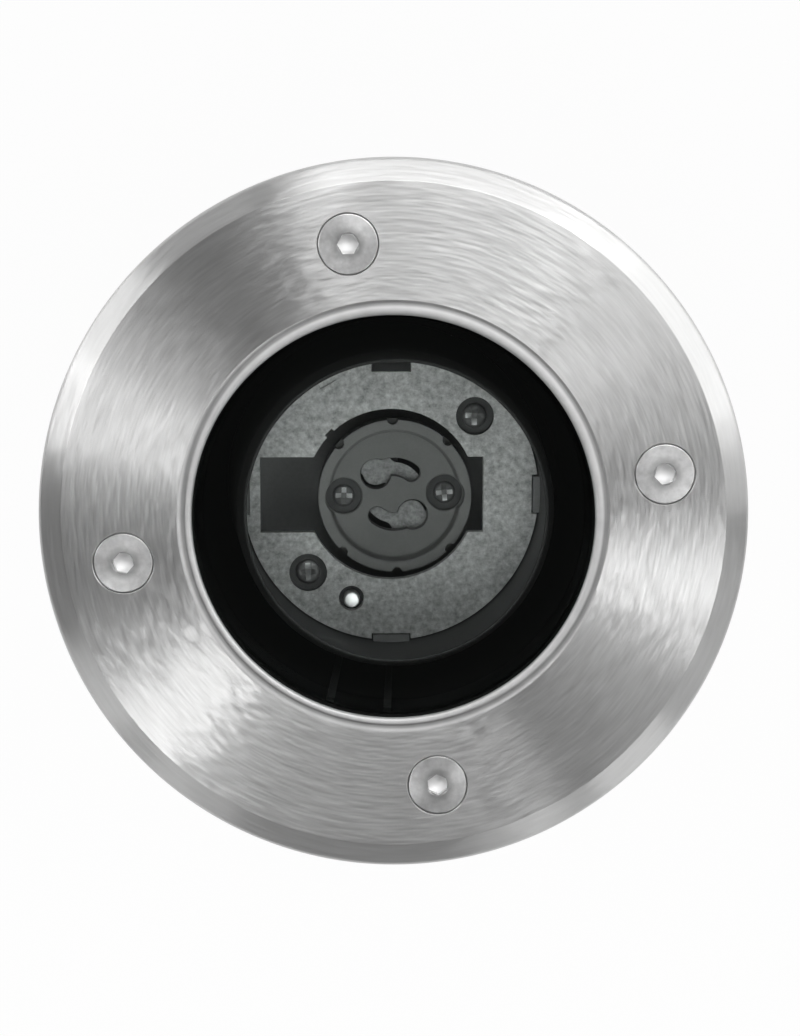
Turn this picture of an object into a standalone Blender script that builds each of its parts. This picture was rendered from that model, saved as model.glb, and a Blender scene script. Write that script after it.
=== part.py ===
"""Round in-ground light: a steel cover over a moulded pot that holds a twist-lock lampholder.

Lengths are in metres and +Z is up. The origin is the centre of the pot's foot, on the
ground plane. The light is seen in the photograph from above, with +Y up in the picture.
"""
import math

import bmesh
import bpy
from mathutils import Matrix, Vector

# Whole light
GAP = 0.0003
OVERRUN = 0.001
EMBED = 0.0006
ROUND_STEPS = 64
MIDDLE_STEPS = 48
NUT_STEPS = 24
SMALL_STEPS = 14
TINY_STEPS = 8
HALF_ROUND_STEPS = 6
SLOT_STEPS = 6

# Cover ring
RING_THICKNESS = 0.003
RIM_ROOM = 0.0127
RING_BEVEL_WIDTH = 0.0037
RING_BEVEL_DROP = 0.0016
RIM_DROP = 0.0006
LENS_OVERLAP = 0.0039
LIP_WIDTH = 0.0020
LIP_DROP = 0.0008
LIP_ROLL_SHARE = 0.33

# Cover screws, countersunk, with a hexagon socket
SCREW_COUNT = 4
SCREW_ROOM = 0.0055
SCREW_ANGLE = math.radians(9.35)
SCREW_HEAD_RADIUS = 0.00445
SCREW_HEAD_LAND = 0.0004
SCREW_HEAD_GAP = 0.0004
SCREW_RADIUS = 0.0025
SCREW_LENGTH = 0.025
SCREW_TIP_SHARE = 0.5
SOCKET_FLATS = 0.003
SOCKET_DEPTH = 0.0018
INSERT_NUT_RADIUS = 0.0031
INSERT_NUT_LENGTH = 0.010
BOSS_RADIUS = 0.0051
BOSS_FLOOR = 0.0012

# Lens and its channel gasket
LENS_THICKNESS = 0.0055
LENS_CHAMFER = 0.0005
GASKET_LIP = 0.0008
GASKET_WEB = 0.0012
GASKET_LIP_REACH = 0.0021

# Pot
CHAMBER_ROOM = 0.0032
FLANGE_OVERHANG = 0.0026
FLANGE_THICKNESS = 0.0032
FLANGE_CHAMFER = 0.0006
SKIRT_DEPTH = 0.0125
SKIRT_WALL = 0.0022
SEAT_WIDTH = 0.0026
POT_WALL = 0.0028
NECK_DROP = 0.0060
CHAMBER_DRAFT = 0.0010
FLOOR_HEIGHT = 0.027
FLOOR_THICKNESS = 0.003
WIRING_ROOM = 0.0337
FOOT_RIM_REACH = 0.0050
FOOT_RIM_HEIGHT = 0.0030
ARCH_WIDTH = 0.0130
ARCH_HEIGHT = 0.0150
GUSSET_STEPS = 12
GUSSET_THICKNESS = 0.0018
GUSSET_DROP = 0.034
RIB_REACH = 0.0015
WALL_RIB_ANGLES = (math.radians(251.5), math.radians(268.0))
WALL_RIB_WIDTH = 0.0013
WALL_RIB_REACH = 0.0009
WALL_RIB_HEADROOM = 0.010

# Lamp insert: how deep its mouth lies, and how far it leans on the line of its two posts
MOUTH_DEPTH = 0.0187
INSERT_SHIFT = (-0.00149, 0.00159)
INSERT_LEAN = math.radians(3.4)
POST_AXIS_ANGLE = math.radians(43.2)
PLATE_THICKNESS = 0.0024
PLATE_BAND = 0.0110

# Shade tube round the lamp
TUBE_HEIGHT = 0.0476
TUBE_MOUTH_INSET = 0.0017
TUBE_MOUTH_WALL = 0.0016
TUBE_BASE_REACH = 0.0038
TUBE_BASE_WALL = 0.0018
TUBE_EDGE_CHAMFER = 0.0004
HOOK_COUNT = 4
HOOK_WIDTH = 0.0064
HOOK_LIP = 0.0009
HOOK_REACH = 0.0008

# Openings of the holder plate
PLATE_HOLE_PLAY = 0.0013
NOTCH_DEPTH = 0.0015
NOTCH_WIDTH_ADD = 0.0006
DEEP_NOTCH_DEPTH = 0.0045
SLIT_ANGLE = math.radians(119.4)
SLIT_WIDTH = 0.0030
SLIT_DEPTH = 0.0042
NICK_ANGLE = math.radians(135.0)
NICK_WIDTH = 0.0035
NICK_DEPTH = 0.0009
WINDOW_LAND = 0.0030
WINDOW_SHOULDER = 0.0012
WINDOW_WIDTH = 0.0134

# Plate screws and the two posts they go into
POST_ROOM = 0.0051
POST_RADIUS = 0.0034
POST_DRAFT = 0.0008
POST_GAP = 0.0005
POST_HOLE_PLAY = 0.0008
POST_WEB_THICKNESS = 0.0020
POST_WEB_HEIGHT = 0.024
PLATE_SCREW_RADIUS = 0.0016
PLATE_SCREW_HEAD_RADIUS = 0.0026
PLATE_SCREW_HEAD_HEIGHT = 0.0012
PLATE_SCREW_BITE = 0.0085
HEAD_FLAT_SHARE = 0.86
HEAD_SIDE_SHARE = 0.55
PLATE_SCREW_SINK = 0.0016
COUNTERBORE_GAP = 0.0006

# Bright pin through the plate
PIN_ROOM = 0.0047
PIN_ANGLE = math.radians(249.1)
PIN_RADIUS = 0.00135
PIN_HOLE_RADIUS = 0.0021
PIN_SINK = 0.0004
PIN_FLANGE_RADIUS = 0.0031
PIN_FLANGE_THICKNESS = 0.0010

# Lampholder, for a base with two pins 10 mm apart
HOLDER_SHIFT = (0.00085, -0.00088)
HOLDER_TURN = math.radians(1.7)
HOLDER_RIM_DEPTH = 0.0050
HOLDER_RECESS = 0.0035
HOLDER_RADIUS = 0.0139
HOLDER_RIM_WIDTH = 0.0024
HOLDER_FLANGE_HEIGHT = 0.0060
HOLDER_HEIGHT = 0.0127
HOLDER_NECK_STEP = 0.0013
HOLDER_FACE_THICKNESS = 0.0026
HOLDER_EDGE_CHAMFER = 0.0003
RIM_NOTCH_ANGLES = tuple(math.radians(a) for a in (45, 90, 135, 225, 270, 315))
RIM_NOTCH_RADIUS = 0.0010
PIN_CIRCLE = 0.0050
SLOT_WIDE_RADIUS = 0.00272
SLOT_NARROW_RADIUS = 0.00161
SLOT_START = math.radians(130.5)
SLOT_END = math.radians(49.9)
POCKET_LENGTH = 0.0124
POCKET_INNER = 0.0010
POCKET_OUTER = 0.0089
HOLDER_BASE_INSET = 0.0019
HOLDER_BASE_THICKNESS = 0.0012
HOLDER_SCREW_INSET = 0.00475
HOLDER_SCREW_RADIUS = 0.0015
HOLDER_SCREW_HEAD_RADIUS = 0.0025
HOLDER_SCREW_HEAD_HEIGHT = 0.0010
HOLDER_SCREW_SINK = 0.0013
HOLDER_NUT_FLATS = 0.0055
HOLDER_NUT_HEIGHT = 0.0022
HOLDER_COUNTERBORE_GAP = 0.0005

# Spring contacts under the slots
CONTACT_THICKNESS = 0.0005
CONTACT_LEG_DROP = 0.0058

# Base of the insert, under the lampholder
BASE_FLOOR_THICKNESS = 0.0018

# Leads
LEAD_RADIUS = 0.0009
LEAD_HOLE_GAP = 0.0008
LEAD_PLACE = 0.0056
LEAD_POINT_STEP = 0.0022
LEAD_ENTRY = 0.0030
LEAD_BELLY = 0.0047
LEAD_APPROACH = 0.0063
LEAD_CURVE_PIECES = 24
LEAD_SECTION_STEPS = 2

# Terminal block
POLE_COUNT = 3
POLE_PITCH = 0.0065
BLOCK_DEPTH = 0.0140
BLOCK_HEIGHT = 0.0115
BLOCK_SIDE_WALL = 0.0006
BLOCK_SHIFT = 0.0020
BLOCK_INSET = 0.0100
BLOCK_PAD = 0.0020
BARREL_RADIUS = 0.0022
BARREL_BORE = 0.0013
BARREL_RECESS = 0.0008
TERMINAL_SCREW_RADIUS = 0.0012
TERMINAL_SCREW_SPREAD = 0.0068
TERMINAL_SCREW_SINK = 0.0010
LUG_THICKNESS = 0.0014
LUG_LENGTH = 0.0060
LUG_HEIGHT = 0.0075

# Cable gland
GLAND_RADIUS = 0.0080
GLAND_BORE = 0.0052
GLAND_TOP_RISE = 0.0070
GLAND_HEX_FLATS = 0.0200
GLAND_HEX_HEIGHT = 0.0042
GLAND_WASHER_THICKNESS = 0.0010
GLAND_WASHER_RADIUS = 0.0094
GLAND_NECK_RADIUS = 0.0074
GLAND_NECK_LENGTH = 0.0085
GLAND_NECK_WALL = 0.0013
LOCKNUT_FLATS = 0.0210
LOCKNUT_HEIGHT = 0.0040
CAP_FLATS = 0.0190
CAP_LENGTH = 0.0150
CAP_DOME_LENGTH = 0.0055
CAP_DOME_RADIUS = 0.0066
CAP_FLOOR = 0.0020
SEAL_BORE = 0.0040
SEAL_LENGTH = 0.0090

# Heights worked out from the foot up to the cover, then down again to the lens's seat
FLOOR_TOP = FLOOR_HEIGHT + FLOOR_THICKNESS
INSERT_Z = FLOOR_TOP + WIRING_ROOM
POST_TOP = INSERT_Z - POST_GAP
HEIGHT = INSERT_Z + TUBE_HEIGHT + MOUTH_DEPTH
RING_UNDER = HEIGHT - RING_THICKNESS
RIM_UNDER = RING_UNDER - RIM_DROP
FLANGE_TOP = RING_UNDER - GAP
GASKET_TOP = FLANGE_TOP
LENS_TOP = GASKET_TOP - GASKET_LIP - GAP
LENS_UNDER = LENS_TOP - LENS_THICKNESS
GASKET_UNDER = LENS_UNDER - GAP - GASKET_LIP
SEAT_Z = GASKET_UNDER - GAP
FLANGE_UNDER = FLANGE_TOP - FLANGE_THICKNESS
SKIRT_UNDER = FLANGE_TOP - SKIRT_DEPTH

# Radii worked out from the lampholder outwards
PLATE_HOLE_RADIUS = HOLDER_RADIUS + PLATE_HOLE_PLAY
PLATE_RADIUS = PLATE_HOLE_RADIUS + PLATE_BAND
POST_CIRCLE = PLATE_HOLE_RADIUS + POST_ROOM
TUBE_MOUTH_RADIUS = PLATE_RADIUS - TUBE_MOUTH_INSET
TUBE_BASE_RADIUS = PLATE_RADIUS + TUBE_BASE_REACH
CHAMBER_RADIUS = TUBE_BASE_RADIUS + CHAMBER_ROOM
SEAT_RADIUS = CHAMBER_RADIUS + CHAMBER_DRAFT
RECESS_RADIUS = SEAT_RADIUS + SEAT_WIDTH
GASKET_RADIUS = RECESS_RADIUS - GAP
LENS_RADIUS = GASKET_RADIUS - GASKET_WEB - GAP
OPENING_RADIUS = LENS_RADIUS - LENS_OVERLAP
SCREW_CIRCLE = RECESS_RADIUS + SCREW_ROOM
RING_RADIUS = SCREW_CIRCLE + RIM_ROOM
NECK_RADIUS = RECESS_RADIUS + POT_WALL
BARREL_RADIUS_TOP = SEAT_RADIUS + POT_WALL
BARREL_RADIUS_FOOT = CHAMBER_RADIUS + POT_WALL
FLANGE_RADIUS = RING_RADIUS - FLANGE_OVERHANG
NOTCH_RADIUS = PLATE_RADIUS - NOTCH_DEPTH
HOLDER_BASE_RADIUS = HOLDER_RADIUS - HOLDER_BASE_INSET
HOLDER_SCREW_OFFSET = HOLDER_RADIUS - HOLDER_SCREW_INSET

# Heights inside the insert, from the underside of its base
PAD_UNDER = BASE_FLOOR_THICKNESS + GAP
PAD_TOP = PAD_UNDER + HOLDER_BASE_THICKNESS
HOLDER_UNDER = PAD_TOP + GAP
RIM_TOP = HOLDER_UNDER + HOLDER_HEIGHT
FACE_Z = RIM_TOP - HOLDER_RECESS
POCKET_TOP = FACE_Z - HOLDER_FACE_THICKNESS
PLATE_TOP = RIM_TOP + HOLDER_RIM_DEPTH
PLATE_UNDER = PLATE_TOP - PLATE_THICKNESS

# Terminal block places
BLOCK_CENTRE = (BLOCK_SHIFT, BLOCK_INSET - CHAMBER_RADIUS)
BLOCK_WIDTH = POLE_COUNT * POLE_PITCH + 2 * BLOCK_SIDE_WALL
BLOCK_UNDER = FLOOR_TOP + BLOCK_PAD + GAP
BARREL_Z = BLOCK_UNDER + BLOCK_HEIGHT / 2
BLOCK_FRONT = BLOCK_CENTRE[1] + BLOCK_DEPTH / 2

WHITE = (0.80, 0.80, 0.78)
STEEL = (0.62, 0.62, 0.61)
BLACK = (0.012, 0.012, 0.013)
BRASS = (0.70, 0.53, 0.26)


def clear_scene():
    """Remove every object of the open scene."""
    for old in list(bpy.data.objects):
        bpy.data.objects.remove(old, do_unlink=True)


def plain_object(name, bm):
    """Turn a bmesh into a linked object with its faces pointing out."""
    bmesh.ops.recalc_face_normals(bm, faces=bm.faces)
    mesh = bpy.data.meshes.new(name)
    bm.to_mesh(mesh)
    bm.free()
    obj = bpy.data.objects.new(name, mesh)
    bpy.context.scene.collection.objects.link(obj)
    return obj


def finish(obj, colour, roughness, metallic=0.0, sharp_degrees=35.0):
    """Give a piece its own material and smooth shading with sharp creases."""
    mat = bpy.data.materials.new(obj.name)
    mat.use_nodes = True
    shader = mat.node_tree.nodes["Principled BSDF"]
    shader.inputs["Base Color"].default_value = (*colour, 1.0)
    shader.inputs["Roughness"].default_value = roughness
    shader.inputs["Metallic"].default_value = metallic
    obj.data.materials.append(mat)
    if obj.type == "MESH":
        obj.data.shade_smooth()
        obj.data.set_sharp_from_angle(angle=math.radians(sharp_degrees))
    return obj


def turned(profile, steps=ROUND_STEPS):
    """Spin a closed outline of (radius, height) points once round the Z axis."""
    bm = bmesh.new()
    verts = [bm.verts.new((r, 0, z)) for r, z in profile]
    edges = [bm.edges.new(pair) for pair in zip(verts, verts[1:] + verts[:1])]
    on_axis = [e for e in edges if all(v.co.x == 0 for v in e.verts)]
    kept = [e for e in edges if e not in on_axis]
    for edge in on_axis:
        bm.edges.remove(edge)
    bmesh.ops.spin(
        bm, geom=verts + kept, cent=(0, 0, 0), axis=(0, 0, 1),
        angle=2 * math.pi, steps=steps, use_merge=True,
    )
    bmesh.ops.remove_doubles(bm, verts=bm.verts, dist=GAP / 100)
    return bm


def prism(outline, low, high):
    """Extrude a closed outline of (x, y) points from one height to another."""
    bm = bmesh.new()
    face = bm.faces.new([bm.verts.new((x, y, low)) for x, y in outline])
    grown = bmesh.ops.extrude_face_region(bm, geom=[face])
    lifted = [item for item in grown["geom"] if isinstance(item, bmesh.types.BMVert)]
    bmesh.ops.translate(bm, verts=lifted, vec=(0, 0, high - low))
    return bm


def box(low, high):
    """A block between two corners."""
    outline = [(low[0], low[1]), (high[0], low[1]), (high[0], high[1]), (low[0], high[1])]
    return prism(outline, low[2], high[2])


def rod(radius, low, high, place=(0, 0), steps=SMALL_STEPS):
    """An upright round bar."""
    bm = turned([(0, high), (radius, high), (radius, low), (0, low)], steps)
    bmesh.ops.translate(bm, verts=bm.verts, vec=(place[0], place[1], 0))
    return bm


def hexagon(flats, low, high):
    """An upright hexagonal bar, given across its flats."""
    corner = flats / 2 / math.cos(math.pi / 6)
    points = [around(corner, k * math.pi / 3) for k in range(6)]
    return prism(points, low, high)


def around(radius, angle):
    """The point at a radius and an angle from +X."""
    return radius * math.cos(angle), radius * math.sin(angle)


def radial_plate(outline, thickness, angle):
    """A flat rib: an outline of (radius, height) points, thick across its radius."""
    bm = prism([(r, z) for r, z in outline], -thickness / 2, thickness / 2)
    stand = Matrix.Rotation(math.pi / 2, 4, "X")
    bmesh.ops.transform(bm, matrix=Matrix.Rotation(angle, 4, "Z") @ stand, verts=bm.verts)
    return bm


def bent_slot(radius, half_width, start, end, low, high):
    """A slot along an arc, with round ends."""
    caps = HALF_ROUND_STEPS
    span = SLOT_STEPS
    points = []
    for k in range(span + 1):
        points.append(around(radius + half_width, start + (end - start) * k / span))
    side = 1 if end > start else -1
    for k in range(1, caps):
        turn = end + side * math.pi * k / caps
        x, y = around(radius, end)
        points.append((x + half_width * math.cos(turn), y + half_width * math.sin(turn)))
    for k in range(span + 1):
        points.append(around(radius - half_width, end + (start - end) * k / span))
    for k in range(1, caps):
        turn = start + math.pi + side * math.pi * k / caps
        x, y = around(radius, start)
        points.append((x + half_width * math.cos(turn), y + half_width * math.sin(turn)))
    return prism(points, low, high)


def combine(obj, operation, shapes):
    """Join shapes to an object, or cut them from it, in one Boolean."""
    group = bpy.data.collections.new(f"{obj.name}_{operation.lower()}")
    bpy.context.scene.collection.children.link(group)
    for index, bm in enumerate(shapes):
        tool = plain_object(f"{group.name}_{index}", bm)
        bpy.context.scene.collection.objects.unlink(tool)
        group.objects.link(tool)
        tool.hide_render = True
        tool.display_type = "WIRE"
        tool.parent = obj
    step = obj.modifiers.new(group.name, "BOOLEAN")
    step.operand_type = "COLLECTION"
    step.collection = group
    step.operation = operation
    step.solver = "EXACT"
    return obj


def combine_each(obj, operation, shapes):
    """Join or cut shapes one after another, where they overlap each other."""
    for index, bm in enumerate(shapes):
        combine(obj, operation, [bm])
        obj.modifiers[-1].name = f"{operation.lower()}_{index}"
    return obj


def screw_places():
    """The angle of each cover screw."""
    return [SCREW_ANGLE + 2 * math.pi * k / SCREW_COUNT for k in range(SCREW_COUNT)]


def post_places():
    """The centres of the two posts, which the plate's screws go into."""
    x0, y0 = INSERT_SHIFT
    places = []
    for turn in (0, math.pi):
        x, y = around(POST_CIRCLE, POST_AXIS_ANGLE + turn)
        places.append((x0 + x, y0 + y))
    return places


def countersink(radius, land, hole, top):
    """A countersunk hole's outline, from above the surface down."""
    cone = top - land - (radius - hole)
    return [(0, top + OVERRUN), (radius, top + OVERRUN), (radius, top - land), (hole, cone)]


def make_cover_ring():
    """Steel ring with a bevelled and turned-down rim, a rolled lip and countersunk holes."""
    rim_inner = FLANGE_RADIUS + GAP
    profile = [
        (OPENING_RADIUS + LIP_WIDTH, HEIGHT),
        (RING_RADIUS - RING_BEVEL_WIDTH, HEIGHT),
        (RING_RADIUS, HEIGHT - RING_BEVEL_DROP),
        (RING_RADIUS, RIM_UNDER),
        (rim_inner, RIM_UNDER),
        (rim_inner, RING_UNDER),
        (OPENING_RADIUS, RING_UNDER),
        (OPENING_RADIUS, HEIGHT - LIP_DROP),
        (OPENING_RADIUS + LIP_WIDTH * LIP_ROLL_SHARE, HEIGHT - LIP_DROP * LIP_ROLL_SHARE),
    ]
    ring = plain_object("cover_ring", turned(profile))
    hole = SCREW_RADIUS + SCREW_HEAD_GAP
    outline = countersink(SCREW_HEAD_RADIUS + SCREW_HEAD_GAP, SCREW_HEAD_LAND, hole, HEIGHT)
    outline += [(hole, RING_UNDER - OVERRUN), (0, RING_UNDER - OVERRUN)]
    holes = []
    for angle in screw_places():
        cutter = turned(outline, SMALL_STEPS)
        bmesh.ops.translate(cutter, verts=cutter.verts, vec=(*around(SCREW_CIRCLE, angle), 0))
        holes.append(cutter)
    combine(ring, "DIFFERENCE", holes)
    return finish(ring, STEEL, 0.30, 1.0)


def make_cover_screw(index, angle):
    """Countersunk screw whose origin lies on its own axis, at the ring's face."""
    cone = SCREW_HEAD_LAND + SCREW_HEAD_RADIUS - SCREW_RADIUS
    profile = [
        (0, 0),
        (SCREW_HEAD_RADIUS, 0),
        (SCREW_HEAD_RADIUS, -SCREW_HEAD_LAND),
        (SCREW_RADIUS, -cone),
        (SCREW_RADIUS, -SCREW_LENGTH + SCREW_RADIUS * SCREW_TIP_SHARE),
        (SCREW_RADIUS * SCREW_TIP_SHARE, -SCREW_LENGTH),
        (0, -SCREW_LENGTH),
    ]
    screw = plain_object(f"cover_screw_{index}", turned(profile, SMALL_STEPS))
    combine(screw, "DIFFERENCE", [hexagon(SOCKET_FLATS, -SOCKET_DEPTH, OVERRUN)])
    screw.location = (*around(SCREW_CIRCLE, angle), HEIGHT)
    return finish(screw, STEEL, 0.25, 1.0)


def make_threaded_insert(index, angle):
    """Brass bush moulded into a boss, which a cover screw threads into."""
    top = FLANGE_TOP - GAP
    bore = SCREW_RADIUS + GAP
    profile = [
        (bore, top),
        (INSERT_NUT_RADIUS, top),
        (INSERT_NUT_RADIUS, top - INSERT_NUT_LENGTH),
        (bore, top - INSERT_NUT_LENGTH),
    ]
    nut = plain_object(f"threaded_insert_{index}", turned(profile, SMALL_STEPS))
    nut.location = (*around(SCREW_CIRCLE, angle), 0)
    return finish(nut, BRASS, 0.35, 1.0)


def make_lens():
    """Thick flat glass with a small chamfer on both edges."""
    edge = LENS_RADIUS - LENS_CHAMFER
    profile = [
        (0, LENS_TOP),
        (edge, LENS_TOP),
        (LENS_RADIUS, LENS_TOP - LENS_CHAMFER),
        (LENS_RADIUS, LENS_UNDER + LENS_CHAMFER),
        (edge, LENS_UNDER),
        (0, LENS_UNDER),
    ]
    return finish(plain_object("lens", turned(profile)), (0.85, 0.9, 0.9), 0.05)


def make_gasket():
    """Silicone channel that wraps the edge of the glass."""
    inside = LENS_RADIUS + GAP
    lip = GASKET_RADIUS - GASKET_WEB - GASKET_LIP_REACH
    profile = [
        (lip, GASKET_TOP),
        (GASKET_RADIUS, GASKET_TOP),
        (GASKET_RADIUS, GASKET_UNDER),
        (lip, GASKET_UNDER),
        (lip, LENS_UNDER - GAP),
        (inside, LENS_UNDER - GAP),
        (inside, LENS_TOP + GAP),
        (lip, LENS_TOP + GAP),
    ]
    return finish(plain_object("lens_gasket", turned(profile, MIDDLE_STEPS)), BLACK, 0.6)


def barrel_radius(z):
    """The pot's outer radius at a height, between its foot and its neck."""
    share = (z - FOOT_RIM_HEIGHT) / (SEAT_Z - FOOT_RIM_HEIGHT)
    return BARREL_RADIUS_FOOT + (BARREL_RADIUS_TOP - BARREL_RADIUS_FOOT) * share


def pot_profile():
    """The pot's section: flange with a turned-down skirt, neck, barrel, floor and foot."""
    neck_under = SEAT_Z - NECK_DROP
    inner_skirt = FLANGE_RADIUS - SKIRT_WALL
    return [
        (RECESS_RADIUS, FLANGE_TOP),
        (FLANGE_RADIUS - FLANGE_CHAMFER, FLANGE_TOP),
        (FLANGE_RADIUS, FLANGE_TOP - FLANGE_CHAMFER),
        (FLANGE_RADIUS, SKIRT_UNDER),
        (inner_skirt, SKIRT_UNDER),
        (inner_skirt, FLANGE_UNDER),
        (NECK_RADIUS, FLANGE_UNDER),
        (NECK_RADIUS, neck_under),
        (barrel_radius(neck_under), neck_under - NECK_RADIUS + BARREL_RADIUS_TOP),
        (BARREL_RADIUS_FOOT, FOOT_RIM_HEIGHT),
        (BARREL_RADIUS_FOOT + FOOT_RIM_REACH, FOOT_RIM_HEIGHT),
        (BARREL_RADIUS_FOOT + FOOT_RIM_REACH, 0),
        (CHAMBER_RADIUS, 0),
        (CHAMBER_RADIUS, FLOOR_HEIGHT),
        (GLAND_RADIUS + GAP, FLOOR_HEIGHT),
        (GLAND_RADIUS + GAP, FLOOR_TOP),
        (CHAMBER_RADIUS, FLOOR_TOP),
        (SEAT_RADIUS, SEAT_Z),
        (RECESS_RADIUS, SEAT_Z),
    ]


def gusset_outline():
    """A rib from under the flange down the barrel to the foot's rim."""
    inside = BARREL_RADIUS_FOOT - POT_WALL / 2
    reach = FLANGE_RADIUS - SKIRT_WALL / 2
    taper = FLANGE_TOP - GUSSET_DROP
    return [
        (NECK_RADIUS - POT_WALL / 2, SEAT_Z),
        (NECK_RADIUS - POT_WALL / 2, FLANGE_UNDER + EMBED),
        (reach, FLANGE_UNDER + EMBED),
        (reach, SKIRT_UNDER + OVERRUN),
        (barrel_radius(taper) + RIB_REACH, taper),
        (BARREL_RADIUS_FOOT + RIB_REACH, FOOT_RIM_HEIGHT - EMBED),
        (inside, FOOT_RIM_HEIGHT - EMBED),
        (BARREL_RADIUS_TOP - POT_WALL / 2, SEAT_Z - NECK_DROP),
    ]


def pot_additions():
    """Screw bosses, gussets, insert posts, terminal lugs and two inner ribs."""
    shapes = []
    boss_under = HEIGHT - SCREW_LENGTH - BOSS_FLOOR
    for angle in screw_places():
        place = around(SCREW_CIRCLE, angle)
        shapes.append(rod(BOSS_RADIUS, boss_under, FLANGE_UNDER + EMBED, place))
    for k in range(GUSSET_STEPS):
        angle = SCREW_ANGLE + 2 * math.pi * k / GUSSET_STEPS
        shapes.append(radial_plate(gusset_outline(), GUSSET_THICKNESS, angle))
    for x, y in post_places():
        shapes.append(post_shape(x, y))
        shapes.append(post_web(x, y))
    for angle in WALL_RIB_ANGLES:
        shapes.append(radial_plate(wall_rib_outline(), WALL_RIB_WIDTH, angle))
    return shapes + lug_shapes()


def post_shape(x, y):
    """A tapered post from the floor to just under the insert's base."""
    foot = POST_RADIUS + POST_DRAFT
    profile = [
        (0, POST_TOP), (POST_RADIUS, POST_TOP), (foot, FLOOR_TOP - EMBED), (0, FLOOR_TOP - EMBED),
    ]
    bm = turned(profile, SMALL_STEPS)
    bmesh.ops.translate(bm, verts=bm.verts, vec=(x, y, 0))
    return bm


def post_web(x, y):
    """The web that ties a post to the chamber's wall."""
    reach = CHAMBER_RADIUS + POT_WALL / 2
    outline = [
        (math.hypot(x, y), FLOOR_TOP - EMBED),
        (reach, FLOOR_TOP - EMBED),
        (reach, FLOOR_TOP + POST_WEB_HEIGHT),
        (math.hypot(x, y), FLOOR_TOP + POST_WEB_HEIGHT),
    ]
    return radial_plate(outline, POST_WEB_THICKNESS, math.atan2(y, x))


def wall_rib_outline():
    """A low upright rib inside the chamber."""
    back = POT_WALL / 2
    top = SEAT_Z - WALL_RIB_HEADROOM
    return [
        (CHAMBER_RADIUS + back, FLOOR_TOP - EMBED),
        (SEAT_RADIUS + back, top),
        (SEAT_RADIUS - WALL_RIB_REACH, top),
        (CHAMBER_RADIUS - WALL_RIB_REACH, FLOOR_TOP - EMBED),
    ]


def lug_shapes():
    """The pad under the terminal block and the lug at each of its ends."""
    x0, y0 = BLOCK_CENTRE
    half = BLOCK_WIDTH / 2 + GAP
    low = FLOOR_TOP - EMBED
    pad_top = FLOOR_TOP + BLOCK_PAD
    shapes = [box(
        (x0 - half - LUG_THICKNESS, y0 - LUG_LENGTH / 2, low),
        (x0 + half + LUG_THICKNESS, y0 + LUG_LENGTH / 2, pad_top),
    )]
    for side in (-1, 1):
        near = x0 + side * half
        far = near + side * LUG_THICKNESS
        shapes.append(box(
            (min(near, far), y0 - LUG_LENGTH / 2, low),
            (max(near, far), y0 + LUG_LENGTH / 2, pad_top + LUG_HEIGHT),
        ))
    return shapes


def pot_cuts():
    """Holes for the brass bushes and screws, holes in the posts, and the foot's arches."""
    shapes = []
    nut = INSERT_NUT_RADIUS + GAP
    nut_floor = FLANGE_TOP - 2 * GAP - INSERT_NUT_LENGTH
    screw = SCREW_RADIUS + GAP
    profile = [
        (0, FLANGE_TOP + OVERRUN), (nut, FLANGE_TOP + OVERRUN), (nut, nut_floor),
        (screw, nut_floor), (screw, HEIGHT - SCREW_LENGTH - GAP), (0, HEIGHT - SCREW_LENGTH - GAP),
    ]
    for angle in screw_places():
        bm = turned(profile, SMALL_STEPS)
        bmesh.ops.translate(bm, verts=bm.verts, vec=(*around(SCREW_CIRCLE, angle), 0))
        shapes.append(bm)
    for place in post_places():
        low = POST_TOP - PLATE_SCREW_BITE - OVERRUN
        shapes.append(rod(PLATE_SCREW_RADIUS + POST_HOLE_PLAY, low, POST_TOP + OVERRUN, place))
    for turn in (math.pi / SCREW_COUNT, math.pi / SCREW_COUNT + math.pi / 2):
        shapes.append(arch_shape(SCREW_ANGLE + turn))
    return shapes


def arch_shape(angle):
    """A round-topped passage right through the foot, for the supply cable."""
    half = ARCH_WIDTH / 2
    spring = ARCH_HEIGHT - half
    reach = BARREL_RADIUS_FOOT + FOOT_RIM_REACH + OVERRUN
    points = [(-half, -OVERRUN), (half, -OVERRUN)]
    for k in range(HALF_ROUND_STEPS + 1):
        x, z = around(half, math.pi * k / HALF_ROUND_STEPS)
        points.append((x, spring + z))
    bm = prism(points, -reach, reach)
    lay = Matrix.Rotation(math.pi / 2, 4, "X")
    bmesh.ops.transform(bm, matrix=Matrix.Rotation(angle, 4, "Z") @ lay, verts=bm.verts)
    return bm


def make_pot():
    """The moulded pot, in one piece."""
    pot = plain_object("housing_pot", turned(pot_profile(), MIDDLE_STEPS))
    combine_each(pot, "UNION", pot_additions())
    combine(pot, "DIFFERENCE", pot_cuts())
    return finish(pot, BLACK, 0.45)


def insert_frame():
    """The insert's empty: on the line through both posts, leaning about that line."""
    frame = bpy.data.objects.new("lamp_insert", None)
    bpy.context.scene.collection.objects.link(frame)
    axis = Vector((*around(1, POST_AXIS_ANGLE), 0))
    place = Matrix.Translation((*INSERT_SHIFT, INSERT_Z))
    frame.matrix_world = place @ Matrix.Rotation(INSERT_LEAN, 4, axis)
    return frame


def holder_frame(frame):
    """The lampholder's empty, a little off the insert's axis."""
    holder = bpy.data.objects.new("lampholder", None)
    bpy.context.scene.collection.objects.link(holder)
    holder.parent = frame
    holder.location = (*HOLDER_SHIFT, 0)
    holder.rotation_euler = (0, 0, HOLDER_TURN)
    return holder


def tube_outside(z):
    """The shade tube's outer radius at a height above its lower edge."""
    top = TUBE_MOUTH_RADIUS + TUBE_MOUTH_WALL
    return top + (TUBE_BASE_RADIUS - top) * (TUBE_HEIGHT - z) / TUBE_HEIGHT


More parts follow.
